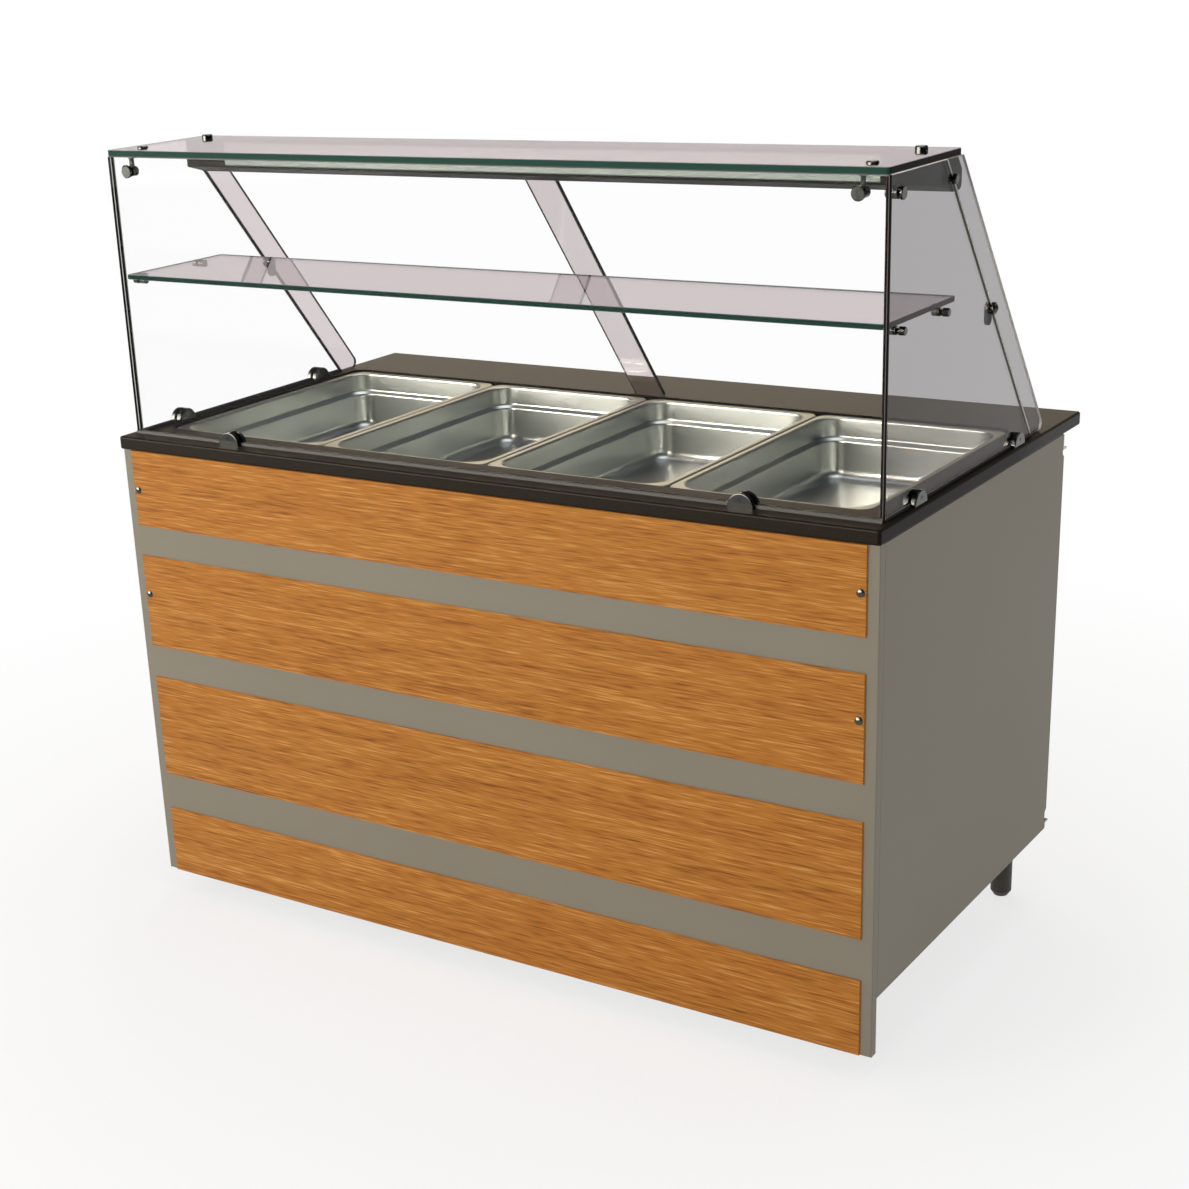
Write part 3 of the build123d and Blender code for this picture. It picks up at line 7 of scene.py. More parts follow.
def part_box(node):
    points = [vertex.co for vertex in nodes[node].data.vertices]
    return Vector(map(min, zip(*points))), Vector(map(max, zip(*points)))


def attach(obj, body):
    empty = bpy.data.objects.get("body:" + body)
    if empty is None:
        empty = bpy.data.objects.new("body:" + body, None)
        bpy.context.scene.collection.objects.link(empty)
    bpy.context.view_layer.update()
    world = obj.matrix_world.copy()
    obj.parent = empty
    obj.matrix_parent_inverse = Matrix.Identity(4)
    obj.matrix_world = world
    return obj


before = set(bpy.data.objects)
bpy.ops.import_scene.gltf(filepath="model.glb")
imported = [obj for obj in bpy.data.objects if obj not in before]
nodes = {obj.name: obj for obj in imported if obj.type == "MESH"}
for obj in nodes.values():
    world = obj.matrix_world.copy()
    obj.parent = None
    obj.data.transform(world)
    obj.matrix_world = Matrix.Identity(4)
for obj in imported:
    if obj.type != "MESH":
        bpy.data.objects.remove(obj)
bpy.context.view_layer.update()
scene = bpy.context.scene
scene.view_settings.view_transform = "Standard"
print("counter: frame loaded with", len(nodes), "nodes")


# small tools
mmPerMetre = 1000.0
fromRange, toRange = ("From Min", "From Max"), ("To Min", "To Max")
mixShare, numberA, numberB, colourA, colourB, colourOut = 0, 2, 3, 6, 7, 2  # sockets of a Mix node


def linear(code, gain=1.0):  # sRGB hex to a linear colour, made brighter by the gain
    parts = [int(code[i:i + 2], 16) / 255 for i in (1, 3, 5)]
    light = [c / 12.92 if c <= 0.04045 else ((c + 0.055) / 1.055) ** 2.4 for c in parts]
    return (*(c * gain for c in light), 1.0)


def perMm(size):  # pattern scale for features of this many millimetres
    return mmPerMetre / size


def addNode(tree, kind, settings, links=None):
    made = tree.nodes.new(kind)
    for key, value in settings.items():
        if isinstance(key, tuple):  # both ends of a range
            for name, end in zip(key, value):
                made.inputs[name].default_value = end
        elif isinstance(key, str) and hasattr(made, key):
            setattr(made, key, value)
        else:
            made.inputs[key].default_value = value
    for key, source in (links or {}).items():
        origin, output = source if isinstance(source, tuple) else (source, 0)
        tree.links.new(origin.outputs[output], made.inputs[key])
    return made


def startMaterial(name):
    material = bpy.data.materials.new(name)
    material.use_nodes = True
    tree = material.node_tree
    tree.nodes.clear()
    place = addNode(tree, "ShaderNodeTexCoord", {})
    return material, tree, (place, "Object")


def closeMaterial(tree, settings, links):
    shader = addNode(tree, "ShaderNodeBsdfPrincipled", settings, links)
    addNode(tree, "ShaderNodeOutputMaterial", {}, {"Surface": shader})


def dress(material, *names):
    for name in names:
        nodes[name].material_slots[0].material = material


# painted sheet metal: soft sheen, a fine orange-peel skin, hardly any tone change
coatLook = {"ior": 1.45, "spread": 0.05, "peelStrength": 0.5}  # the same in all three coats
panelLook = {**coatLook, "colour": "#868073", "deep": "#7E786B", "roughness": 0.46, "shine": 0.25,
             "peelMm": 2.2, "peelDepth": 0.00006, "cloudMm": 340}  # depths here are in metres
frameLook = {**coatLook, "colour": "#2A2A29", "deep": "#1E1E1D", "roughness": 0.5, "shine": 0.3,
             "peelMm": 2.6, "peelDepth": 0.00009, "cloudMm": 90}
lampLook = {**coatLook, "colour": "#2C2B25", "deep": "#24231E", "roughness": 0.44, "shine": 0.03,
            "peelMm": 2.4, "peelDepth": 0.00004, "cloudMm": 60}


def paintedSheet(name, look):
    material, tree, place = startMaterial(name)
    cloud = addNode(tree, "ShaderNodeTexNoise", {"Scale": perMm(look["cloudMm"]), "Detail": 3.0},
                    {"Vector": place})
    peel = addNode(tree, "ShaderNodeTexNoise", {"Scale": perMm(look["peelMm"]), "Detail": 1.0},
                   {"Vector": place})
    tone = addNode(tree, "ShaderNodeMix", {"data_type": "RGBA", colourA: linear(look["deep"]),
                                           colourB: linear(look["colour"])}, {mixShare: cloud})
    rough, spread = look["roughness"], look["spread"]
    gloss = addNode(tree, "ShaderNodeMapRange", {toRange: (rough - spread, rough + spread)},
                    {"Value": cloud})
    skin = addNode(tree, "ShaderNodeBump",
                   {"Strength": look["peelStrength"], "Distance": look["peelDepth"]},
                   {"Height": peel})
    closeMaterial(tree, {"IOR": look["ior"], "Specular IOR Level": look["shine"]},
                  {"Base Color": (tone, colourOut), "Roughness": gloss, "Normal": skin})
    return material


dress(paintedSheet("powderCoatedSteel", panelLook), "front_panel", "left_side_panel",
      "right_side_panel", "left_door", "right_door", "machine_cover", "partition_panel")
dress(paintedSheet("stovedBlackEnamel", frameLook), "base_frame", "fan_shroud", "compressor")
dress(paintedSheet("powderCoatedAluminium", lampLook), "lamp_housing")

# wood boards: short pressed dashes along the counter on one even tone, faint bands, satin lacquer
woodLook = {
    "pale": "#D09851", "middle": "#AD6F2A", "dark": "#965C20", "pore": "#6C3E10",
    "tones": ((0.3, "pore"), (0.41, "dark"), (0.48, "middle"), (0.53, "middle"), (0.68, "pale")),
    "dashMm": (46, 2.1), "fineMm": (120, 3.2), "bandMm": (640, 30),  # along and across the board
    "fineShare": 0.4, "bandShare": 0.16, "relief": 0.0001, "reliefStrength": 0.6,
    "glossFrom": (0.35, 0.65), "roughness": (0.52, 0.36), "ior": 1.46, "shine": 0.2,
}


def lacqueredVeneer(name, look):
    material, tree, place = startMaterial(name)
    grain = {}
    for part in ("dash", "fine", "band"):  # the dash has twice its real width, so that it shows
        along, across = look[part + "Mm"]
        stretch = addNode(tree, "ShaderNodeMapping",
                          {"Scale": (perMm(along), perMm(across), perMm(across))},
                          {"Vector": place})
        grain[part] = addNode(tree, "ShaderNodeTexNoise", {"Scale": 1.0, "Detail": 1.0},
                              {"Vector": stretch})
    lines = addNode(tree, "ShaderNodeMix", {"data_type": "FLOAT", mixShare: look["fineShare"]},
                    {numberA: grain["dash"], numberB: grain["fine"]})
    blend = addNode(tree, "ShaderNodeMix", {"data_type": "FLOAT", mixShare: look["bandShare"]},
                    {numberA: lines, numberB: grain["band"]})
    tone = addNode(tree, "ShaderNodeValToRGB", {}, {"Fac": blend})
    stops = tone.color_ramp.elements
    stops[0].position, stops[1].position = look["tones"][0][0], look["tones"][-1][0]
    for spot, _ in look["tones"][1:-1]:
        stops.new(spot)
    for stop, (_, shade) in zip(stops, look["tones"]):
        stop.color = linear(look[shade])
    relief = addNode(tree, "ShaderNodeBump",
                     {"Strength": look["reliefStrength"], "Distance": look["relief"]},
                     {"Height": lines})
    gloss = addNode(tree, "ShaderNodeMapRange",
                    {fromRange: look["glossFrom"], toRange: look["roughness"]}, {"Value": lines})
    closeMaterial(tree, {"IOR": look["ior"], "Specular IOR Level": look["shine"]},
                  {"Base Color": tone, "Roughness": gloss, "Normal": relief})
    return material


dress(lacqueredVeneer("lacqueredBambooVeneer", woodLook),
      "front_board_1", "front_board_2", "front_board_3", "front_board_4")

# worktop: dark polished stone, fine flecks in a brown-black ground, smoother where staff wipe it
stoneLook = {
    "ground": "#17120D", "fleck": "#31271D", "grit": "#0E0B08", "fleckMm": 2.4, "gritMm": 1.1,
    "fleckFrom": (0.34, 0.12), "gritFrom": (0.45, 0.7), "roughness": (0.42, 0.31),
    "wipedFrom": (0.1, 0.25), "uneven": (0.96, 1.08), "ior": 1.45, "shine": 0.07,
}


def polishedStone(name, look):
    material, tree, place = startMaterial(name)
    fleck = addNode(tree, "ShaderNodeTexVoronoi", {"Scale": perMm(look["fleckMm"])},
                    {"Vector": place})
    grit = addNode(tree, "ShaderNodeTexNoise", {"Scale": perMm(look["gritMm"]), "Detail": 2.0},
                   {"Vector": place})
    small = addNode(tree, "ShaderNodeMapRange", {fromRange: look["fleckFrom"]},
                    {"Value": (fleck, "Distance")})
    seeds = addNode(tree, "ShaderNodeMapRange", {fromRange: look["gritFrom"]}, {"Value": grit})
    base = addNode(tree, "ShaderNodeMix", {"data_type": "RGBA", colourA: linear(look["ground"]),
                                           colourB: linear(look["grit"])}, {mixShare: seeds})
    tone = addNode(tree, "ShaderNodeMix", {"data_type": "RGBA", colourB: linear(look["fleck"])},
                   {mixShare: small, colourA: (base, colourOut)})
    axes = addNode(tree, "ShaderNodeSeparateXYZ", {}, {"Vector": place})
    wiped = addNode(tree, "ShaderNodeMapRange",
                    {fromRange: look["wipedFrom"], toRange: look["roughness"]},
                    {"Value": (axes, "Y")})  # metres towards the staff side
    uneven = addNode(tree, "ShaderNodeMapRange", {toRange: look["uneven"]}, {"Value": grit})
    gloss = addNode(tree, "ShaderNodeMath", {"operation": "MULTIPLY"}, {0: wiped, 1: uneven})
    closeMaterial(tree, {"IOR": look["ior"], "Specular IOR Level": look["shine"]},
                  {"Base Color": (tone, colourOut), "Roughness": gloss})
    return material


dress(polishedStone("polishedGranite", stoneLook), "worktop")

# rolled metal: pressed pans have soft draw marks, folded sheet and fins have one-way brush lines
rolledLook = {"cloudShare": 0.45, "glossFrom": (0.3, 0.7), "dullBy": 0.03, "brightBy": 0.02,
              "brushStrength": 0.4}
panLook = {**rolledLook, "colour": "#B9BCBA", "dull": "#A1A4A3", "roughness": 0.31,
           "brushMm": (420, 34), "cloudMm": 80, "depth": 0.0002}
sheetLook = {**rolledLook, "colour": "#C2C3BE", "dull": "#ABACA7", "roughness": 0.3,
             "brushMm": (220, 1.2), "cloudMm": 120, "depth": 0.00003}
finLook = {**rolledLook, "colour": "#CFD1D2", "dull": "#A7A9AB", "roughness": 0.36,
           "brushMm": (40, 1.6), "cloudMm": 30, "depth": 0.00003}


def rolledMetal(name, look):
    material, tree, place = startMaterial(name)
    along, across = look["brushMm"]
    stretch = addNode(tree, "ShaderNodeMapping",
                      {"Scale": (perMm(across), perMm(along), perMm(across))}, {"Vector": place})
    brush = addNode(tree, "ShaderNodeTexNoise", {"Scale": 1.0, "Detail": 2.0}, {"Vector": stretch})
    cloud = addNode(tree, "ShaderNodeTexNoise", {"Scale": perMm(look["cloudMm"]), "Detail": 3.0},
                    {"Vector": place})
    blend = addNode(tree, "ShaderNodeMix", {"data_type": "FLOAT", mixShare: look["cloudShare"]},
                    {numberA: brush, numberB: cloud})
    tone = addNode(tree, "ShaderNodeMix", {"data_type": "RGBA", colourA: linear(look["dull"]),
                                           colourB: linear(look["colour"])}, {mixShare: blend})
    rough = look["roughness"]
    gloss = addNode(tree, "ShaderNodeMapRange",
                    {fromRange: look["glossFrom"],
                     toRange: (rough + look["dullBy"], rough - look["brightBy"])}, {"Value": blend})
    lines = addNode(tree, "ShaderNodeBump",
                    {"Strength": look["brushStrength"], "Distance": look["depth"]},
                    {"Height": brush})
    closeMaterial(tree, {"Metallic": 1.0},
                  {"Base Color": (tone, colourOut), "Roughness": gloss, "Normal": lines})
    return material


dress(rolledMetal("pressedStainlessSteel", panLook), "pan_1", "pan_2", "pan_3", "pan_4")
dress(rolledMetal("brushedStainlessSheet", sheetLook), "well_tank", "base_tray", "door_hinges")
dress(rolledMetal("rolledAluminiumFins", finLook), "condenser_coil")

# smooth metals: plated or drawn, mirror-like, with faint handling marks that blur the reflections
smoothLook = {"glossFrom": (0.35, 0.75), "blur": 1.8}
# the chrome's near-black colour is painted shade: it stands in for the dim room that the plating
# mirrors
chromePaintedShadeLook = {**smoothLook, "colour": "#4B4C4A", "mark": "#3F403F", "roughness": 0.07, "markMm": 9}
zincLook = {**smoothLook, "colour": "#B9BCBE", "mark": "#94989B", "roughness": 0.26, "markMm": 3}
handleLook = {**smoothLook, "colour": "#A9AAA9", "mark": "#8E8F8E", "roughness": 0.12, "markMm": 14}
copperLook = {**smoothLook, "colour": "#C98A62", "mark": "#8E5537", "roughness": 0.28, "markMm": 24}


def smoothMetal(name, look):
    material, tree, place = startMaterial(name)
    marks = addNode(tree, "ShaderNodeTexNoise", {"Scale": perMm(look["markMm"]), "Detail": 4.0},
                    {"Vector": place})
    tone = addNode(tree, "ShaderNodeMix", {"data_type": "RGBA", colourA: linear(look["mark"]),
                                           colourB: linear(look["colour"])}, {mixShare: marks})
    rough = look["roughness"]
    gloss = addNode(tree, "ShaderNodeMapRange",
                    {fromRange: look["glossFrom"], toRange: (rough, rough * look["blur"])},
                    {"Value": marks})
    closeMaterial(tree, {"Metallic": 1.0}, {"Base Color": (tone, colourOut), "Roughness": gloss})
    return material


chrome = smoothMetal("polishedChrome", chromePaintedShadeLook)
zinc = smoothMetal("zincPlatedSteel", zincLook)
dress(chrome, "base_clips", "corner_connectors", "lamp_bolts", "shelf_studs", "strut_clamps",
      "board_screws")
dress(smoothMetal("satinChrome", handleLook), "left_door_handle", "right_door_handle")
dress(smoothMetal("drawnCopper", copperLook), "evaporator_coil", "refrigerant_lines", "drain_pipe")

# float glass: clear through its faces; its rims are dull, partly in the glass's own dark edge
# colour and partly painted light: rims that face the front are painted one colour and the rest
# another, and the pale rims are a painted highlight
strutRise, strutRun = 470, 376  # mm from the centre strut's foot to its head, up and forward
strutLean = math.atan2(strutRise, strutRun)
glassLook = {
    "rimFrom": (0.95, 0.6), "frontFrom": (-0.3, -0.7), "rimRoughness": 0.45, "shine": 0.03,
    "filmMm": 70, "filmFrom": (0.45, 0.8), "smear": 0.012,
    # the tints differ from pane to pane though all are the same clear glass: they are painted light
    # and shade, the grey of the right-hand panes painted shade
    "panes": {  # tint, front rim, other rims, direction through the pane, IOR: low ones glare less
        "front_glass": ("#FDFDFD", "#1C1510", "#1C1510", (0, 1, 0), 1.14),
        "left_side_glass": ("#FEFEFE", "#161510", "#161510", (1, 0, 0), 1.14),
        "right_side_glass": ("#A5A3A4", "#1C1510", "#E8E6E0", (1, 0, 0), 1.14),
        "top_glass": ("#FBF0F2", "#24433B", "#171713", (0, 0, 1), 1.52),
        "shelf_glass": ("#D2C9CA", "#1E3A33", "#4A473B", (0, 0, 1), 1.12),
        "left_strut_glass": ("#D8CFD0", "#161510", "#24231E", (1, 0, 0), 1.2),
        "right_strut_glass": ("#A5A3A4", "#E8E6E0", "#8A8882", (1, 0, 0), 1.14),
        "centre_strut_glass": ("#DCD2D3", "#2A2C27", "#2A2C27",
                               (0, math.sin(strutLean), math.cos(strutLean)), 1.52),
    },
}


def floatGlass(name, tint, frontRimGlassAndLight, otherRimsGlassAndLight, across, ior):
    material, tree, place = startMaterial(name)
    facing = addNode(tree, "ShaderNodeNewGeometry", {})
    aligned = addNode(tree, "ShaderNodeVectorMath", {"operation": "DOT_PRODUCT", 1: across},
                      {0: (facing, "True Normal")})
    flat = addNode(tree, "ShaderNodeMath", {"operation": "ABSOLUTE"}, {0: (aligned, "Value")})
    rim = addNode(tree, "ShaderNodeMapRange", {fromRange: glassLook["rimFrom"]}, {"Value": flat})
    axes = addNode(tree, "ShaderNodeSeparateXYZ", {}, {"Vector": (facing, "True Normal")})
    front = addNode(tree, "ShaderNodeMapRange", {fromRange: glassLook["frontFrom"]},
                    {"Value": (axes, "Y")})
    # painted light on the rims: those that face the front take one colour, the others another
    edge = addNode(tree, "ShaderNodeMix", {"data_type": "RGBA", colourA: linear(otherRimsGlassAndLight),
                                           colourB: linear(frontRimGlassAndLight)}, {mixShare: front})
    tone = addNode(tree, "ShaderNodeMix", {"data_type": "RGBA", colourA: linear(tint)},
                   {mixShare: rim, colourB: (edge, colourOut)})
    film = addNode(tree, "ShaderNodeTexNoise",
                   {"Scale": perMm(glassLook["filmMm"]), "Detail": 3.0}, {"Vector": place})
    smear = addNode(tree, "ShaderNodeMapRange",
                    {fromRange: glassLook["filmFrom"], toRange: (0.0, glassLook["smear"])},
                    {"Value": film})
    matt = addNode(tree, "ShaderNodeMath",
                   {"operation": "MULTIPLY", 1: glassLook["rimRoughness"]}, {0: rim})
    gloss = addNode(tree, "ShaderNodeMath", {"operation": "MAXIMUM"}, {0: smear, 1: matt})
    clear = addNode(tree, "ShaderNodeMapRange", {toRange: (1.0, 0.0)},
                    {"Value": rim})  # no light comes through the ground rims
    closeMaterial(tree, {"IOR": ior, "Specular IOR Level": glassLook["shine"]},
                  {"Base Color": (tone, colourOut), "Roughness": gloss,
                   "Transmission Weight": clear})
    return material


for paneName, look in glassLook["panes"].items():
    dress(floatGlass("floatGlass_" + paneName, *look), paneName)
    nodes[paneName].visible_shadow = False  # the lamps reach the pans through the panes

# plastics, ink and resin: even colour with a fine grain, dull to half gloss
mouldLook = {"ior": 1.5, "spread": 0.06, "grainStrength": 0.5}
plasticLooks = {  # colour, lighter grain, roughness, grain in mm, depth of the grain in metres
    "mouldedNylon": ("#2B2621", "#3A342D", 0.48, 1.2, 0.00008),  # dull brown-black
    "mouldedAbs": ("#1B1C1D", "#25262A", 0.4, 1.0, 0.00006),  # black with a spark-eroded grain
    "mouldedKeys": ("#3A3B3D", "#47484B", 0.34, 0.9, 0.00004),  # dark grey, smooth to the finger
    "dippedVinyl": ("#B3261C", "#C4392B", 0.38, 3.5, 0.00012),  # red with soft waves
    "opalAcrylic": ("#76837C", "#808C85", 0.3, 5.0, 0.00003),  # cloudy grey-green while unlit
    "foamedPolyurethane": ("#D9CFA8", "#E6DEBD", 0.85, 2.8, 0.0006),  # cream, matt and pitted
    "extrudedRubber": ("#121212", "#1B1B1B", 0.55, 1.5, 0.00005),  # plain black line
    "padPrintedInk": ("#D6D6D2", "#E4E4E0", 0.5, 0.8, 0.00001),  # thin off-white film
    "smokedAcrylic": ("#160D0C", "#1E1412", 0.14, 6.0, 0.00001),  # glossy red-black
    "diffusedLedResin": ("#EE5530", "#FF6A40", 0.4, 1.0, 0.00001),  # soft orange-red
    "frostedTubeGlass": ("#EDEFEA", "#F6F7F3", 0.4, 4.0, 0.00002),  # milky white
}


def mouldedPlastic(name):
    colour, light, rough, grainMm, depth = plasticLooks[name]
    material, tree, place = startMaterial(name)
    grain = addNode(tree, "ShaderNodeTexNoise", {"Scale": perMm(grainMm), "Detail": 2.0},
                    {"Vector": place})
    tone = addNode(tree, "ShaderNodeMix", {"data_type": "RGBA", colourA: linear(colour),
                                           colourB: linear(light)}, {mixShare: grain})
    spread = mouldLook["spread"]
    gloss = addNode(tree, "ShaderNodeMapRange", {toRange: (rough - spread, rough + spread)},
                    {"Value": grain})
    skin = addNode(tree, "ShaderNodeBump",
                   {"Strength": mouldLook["grainStrength"], "Distance": depth}, {"Height": grain})
    closeMaterial(tree, {"IOR": mouldLook["ior"]},
                  {"Base Color": (tone, colourOut), "Roughness": gloss, "Normal": skin})
    return material


dress(mouldedPlastic("mouldedNylon"), "leg_front_left", "leg_front_right", "leg_rear_left",
      "leg_rear_right")
dress(mouldedPlastic("mouldedAbs"), "control_fascia", "cable_gland", "thermostat", "fan_motor",
      "fan_blades")
dress(mouldedPlastic("mouldedKeys"), "rocker_cooling", "rocker_lamp", "thermostat_key_up",
      "thermostat_key_down")
dress(mouldedPlastic("dippedVinyl"), "drain_lever")
dress(mouldedPlastic("opalAcrylic"), "lamp_diffuser")
dress(mouldedPlastic("foamedPolyurethane"), "well_insulation")
dress(mouldedPlastic("frostedTubeGlass"), "lamp_tube")
rubber = mouldedPlastic("extrudedRubber")
print("counter: materials on", len(nodes), "nodes,", len(bpy.data.materials), "materials in all")


# small pieces in mesh code, sizes in millimetres
meshLook = {"sharpDegrees": 35, "ringSteps": 24}
alongX, alongY, alongZ = (1, 0, 0), (0, 1, 0), (0, 0, 1)


def addPiece(name, forms, body, material):  # one mesh from several closed forms
    corners, sides = [], []
    for formCorners, formSides in forms:
        first = len(corners)
        corners += [tuple(c / mmPerMetre for c in corner) for corner in formCorners]
        sides += [tuple(first + i for i in side) for side in formSides]
    mesh = bpy.data.meshes.new(name)
    mesh.from_pydata(corners, [], sides)
    shape = bmesh.new()
    shape.from_mesh(mesh)
    bmesh.ops.recalc_face_normals(shape, faces=shape.faces)
    shape.to_mesh(mesh)
    shape.free()
    mesh.update()
    mesh.polygons.foreach_set("use_smooth", [True] * len(mesh.polygons))
    mesh.set_sharp_from_angle(angle=math.radians(meshLook["sharpDegrees"]))
    mesh.materials.append(material)
    piece = bpy.data.objects.new(name, mesh)
    scene.collection.objects.link(piece)
    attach(piece, body)


def runProfile(outline, start, end, across, up):  # straight run of a closed outline
    count = len(outline)
    corners = [Vector(point) + Vector(across) * a + Vector(up) * b
               for point in (start, end) for a, b in outline]
    sides = []
    for i in range(count):
        j = (i + 1) % count
        sides.append((i, j, count + j, count + i))
    return corners, sides + [tuple(reversed(range(count))), tuple(range(count, 2 * count))]


def turnProfile(rings, foot, axis):  # rings of (radius, height, hexagonal) about an axis
    steps = meshLook["ringSteps"]
    axis = Vector(axis).normalized()
    side = axis.orthogonal().normalized()
    other = axis.cross(side)
    halfFlat = math.pi / 6  # half the angle of one flat of a hexagon
    corners, sides = [], []
    for radius, height, hexagonal in rings:
        for k in range(steps):
            angle = 2 * math.pi * k / steps
            reach = radius
            if hexagonal:
                reach *= math.cos(halfFlat) / math.cos(angle % (2 * halfFlat) - halfFlat)
            corners.append(Vector(foot) + axis * height + side * reach * math.cos(angle)
                           + other * reach * math.sin(angle))
    for low in range(0, len(corners) - steps, steps):
        for k in range(steps):
            n = (k + 1) % steps
            sides.append((low + k, low + n, low + steps + n, low + steps + k))
    last = len(corners) - steps
    return corners, sides + [tuple(reversed(range(steps))), tuple(range(last, last + steps))]


# rubber channel under the front and side panes, cut at the clips
channelLook = {
    "outline": ((-5.4, 0), (5.4, 0), (5.4, 4.4), (4.9, 5), (4.15, 5), (4.15, 1.9), (-4.15, 1.9),
                (-4.15, 5), (-4.9, 5), (-5.4, 4.4)),
    "z": 850, "frontY": -355, "sideX": 684,
    "frontEnds": (-687.5, 687.5), "sideEnds": (-349.2, 195.2),
    "clipX": (-475, 475), "clipY": (-246, 130), "clipHalf": 21.4,
}


def channelRuns(ends, clips):  # the stretches that the clips leave
    edges = [ends[0]]
    for clip in clips:
        edges += [clip - channelLook["clipHalf"], clip + channelLook["clipHalf"]]
    edges.append(ends[1])
    return zip(edges[0::2], edges[1::2])


frontY, sideX, footZ = channelLook["frontY"], channelLook["sideX"], channelLook["z"]
runs = [runProfile(channelLook["outline"], (low, frontY, footZ), (high, frontY, footZ),
                   alongY, alongZ)
        for low, high in channelRuns(channelLook["frontEnds"], channelLook["clipX"])]
for x in (-sideX, sideX):
    runs += [runProfile(channelLook["outline"], (x, high, footZ), (x, low, footZ), alongX, alongZ)
             for low, high in channelRuns(channelLook["sideEnds"], channelLook["clipY"])]
addPiece("paneChannels", runs, "counter", rubber)

# socket screws: set screws in the clips, button heads on the strut clamps, pan heads at the rear
screwLook = {
    "set": ((2.9, 0, False), (2.9, 1.6, False), (2.6, 1.9, False), (1.7, 1.9, True),
            (1.6, 0.6, True)),
    "button": ((6.0, 0, False), (6.0, 0.5, False), (5.5, 1.5, False), (4.4, 2.3, False),
               (3.2, 2.7, False), (2.2, 2.7, True), (2.1, 1.0, True)),
    "pan": ((4.6, 0, False), (4.6, 0.9, False), (4.1, 1.8, False), (3.1, 2.3, False),
            (2.0, 2.3, True), (1.9, 0.9, True)),
    "clipCheek": 12, "clipRecess": 2, "clipZ": 860.5, "clampX": 693, "clampYZ": (15.2, 1079.0),
    "coverX": (-667, -271), "coverZ": (145, 418, 691), "coverY": 323.1,
    "fasciaX": (-666, -272), "fasciaZ": (714, 786), "fasciaY": 324.6,
}
recess, clipZ = screwLook["clipCheek"] - screwLook["clipRecess"], screwLook["clipZ"]
glassScrews = [turnProfile(screwLook["set"], (x, frontY - recess, clipZ), (0, -1, 0))
               for x in channelLook["clipX"]]
for sign in (-1, 1):
    glassScrews += [turnProfile(screwLook["set"], (sign * (sideX + recess), y, clipZ), (sign, 0, 0))
                    for y in channelLook["clipY"]]
    glassScrews.append(turnProfile(screwLook["button"],
                                   (sign * screwLook["clampX"], *screwLook["clampYZ"]),
                                   (sign, 0, 0)))
addPiece("glassScrews", glassScrews, "counter", chrome)
rearScrews = [turnProfile(screwLook["pan"], (x, screwLook[plate + "Y"], z), alongY)
              for plate in ("cover", "fascia")
              for x in screwLook[plate + "X"] for z in screwLook[plate + "Z"]]
addPiece("rearScrews", rearScrews, "counter", zinc)

# control marks: printed bar and ring in the dish of each rocker, arrows on the keys
markLook = {
    "rockers": (("cooling_switch", -400), ("lamp_switch", -340)), "pivot": (319.6, 750), "tilt": 7,
    "dishRadius": 39.6, "dishCentre": 48.8, "away": 6, "sink": 0.2, "rise": 0.1,
    "bar": ((-0.6, -2.2), (0.6, -2.2), (0.6, 2.2), (-0.6, 2.2)),
    "ring": ((2.4, -0.2, False), (2.4, 0.1, False), (1.5, 0.1, False), (1.5, -0.2, False)),
    "keys": (("key_up", 1), ("key_down", -1)), "arrow": ((-2.0, -1.2), (2.0, -1.2), (0, 1.8)),
}
ink = mouldedPlastic("padPrintedInk")
toRight = (-1, 0, 0)  # for someone who stands behind the counter
tilt, dish = math.radians(markLook["tilt"]), markLook["dishRadius"]
outward = Vector((0, math.cos(tilt), math.sin(tilt)))
upward = Vector((0, -math.sin(tilt), math.cos(tilt)))
for body, rockerX in markLook["rockers"]:
    marks = []
    for away in (markLook["away"], -markLook["away"]):  # the bar over the pivot, the ring under it
        reach = math.sqrt(dish ** 2 - away ** 2)
        foot = (Vector((rockerX, *markLook["pivot"])) + outward * (markLook["dishCentre"] - reach)
                + upward * away)
        normal = (outward * reach - upward * away) / dish
        slope = (outward * away + upward * reach) / dish
        if away > 0:
            marks.append(runProfile(markLook["bar"], foot - normal * markLook["sink"],
                                    foot + normal * markLook["rise"], toRight, slope))
        else:
            marks.append(turnProfile(markLook["ring"], foot, normal))
    addPiece("marks_" + body, marks, body, ink)
for body, way in markLook["keys"]:
    low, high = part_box("thermostat_" + body)
    keyX, keyZ = ((low[axis] + high[axis]) / 2 * mmPerMetre for axis in (0, 2))
    keyY = high[1] * mmPerMetre
    arrow = runProfile([(a, b * way) for a, b in markLook["arrow"]],
                       (keyX, keyY - markLook["sink"], keyZ), (keyX, keyY + markLook["rise"], keyZ),
                       toRight, alongZ)
    addPiece("arrow_" + body, [arrow], body, ink)

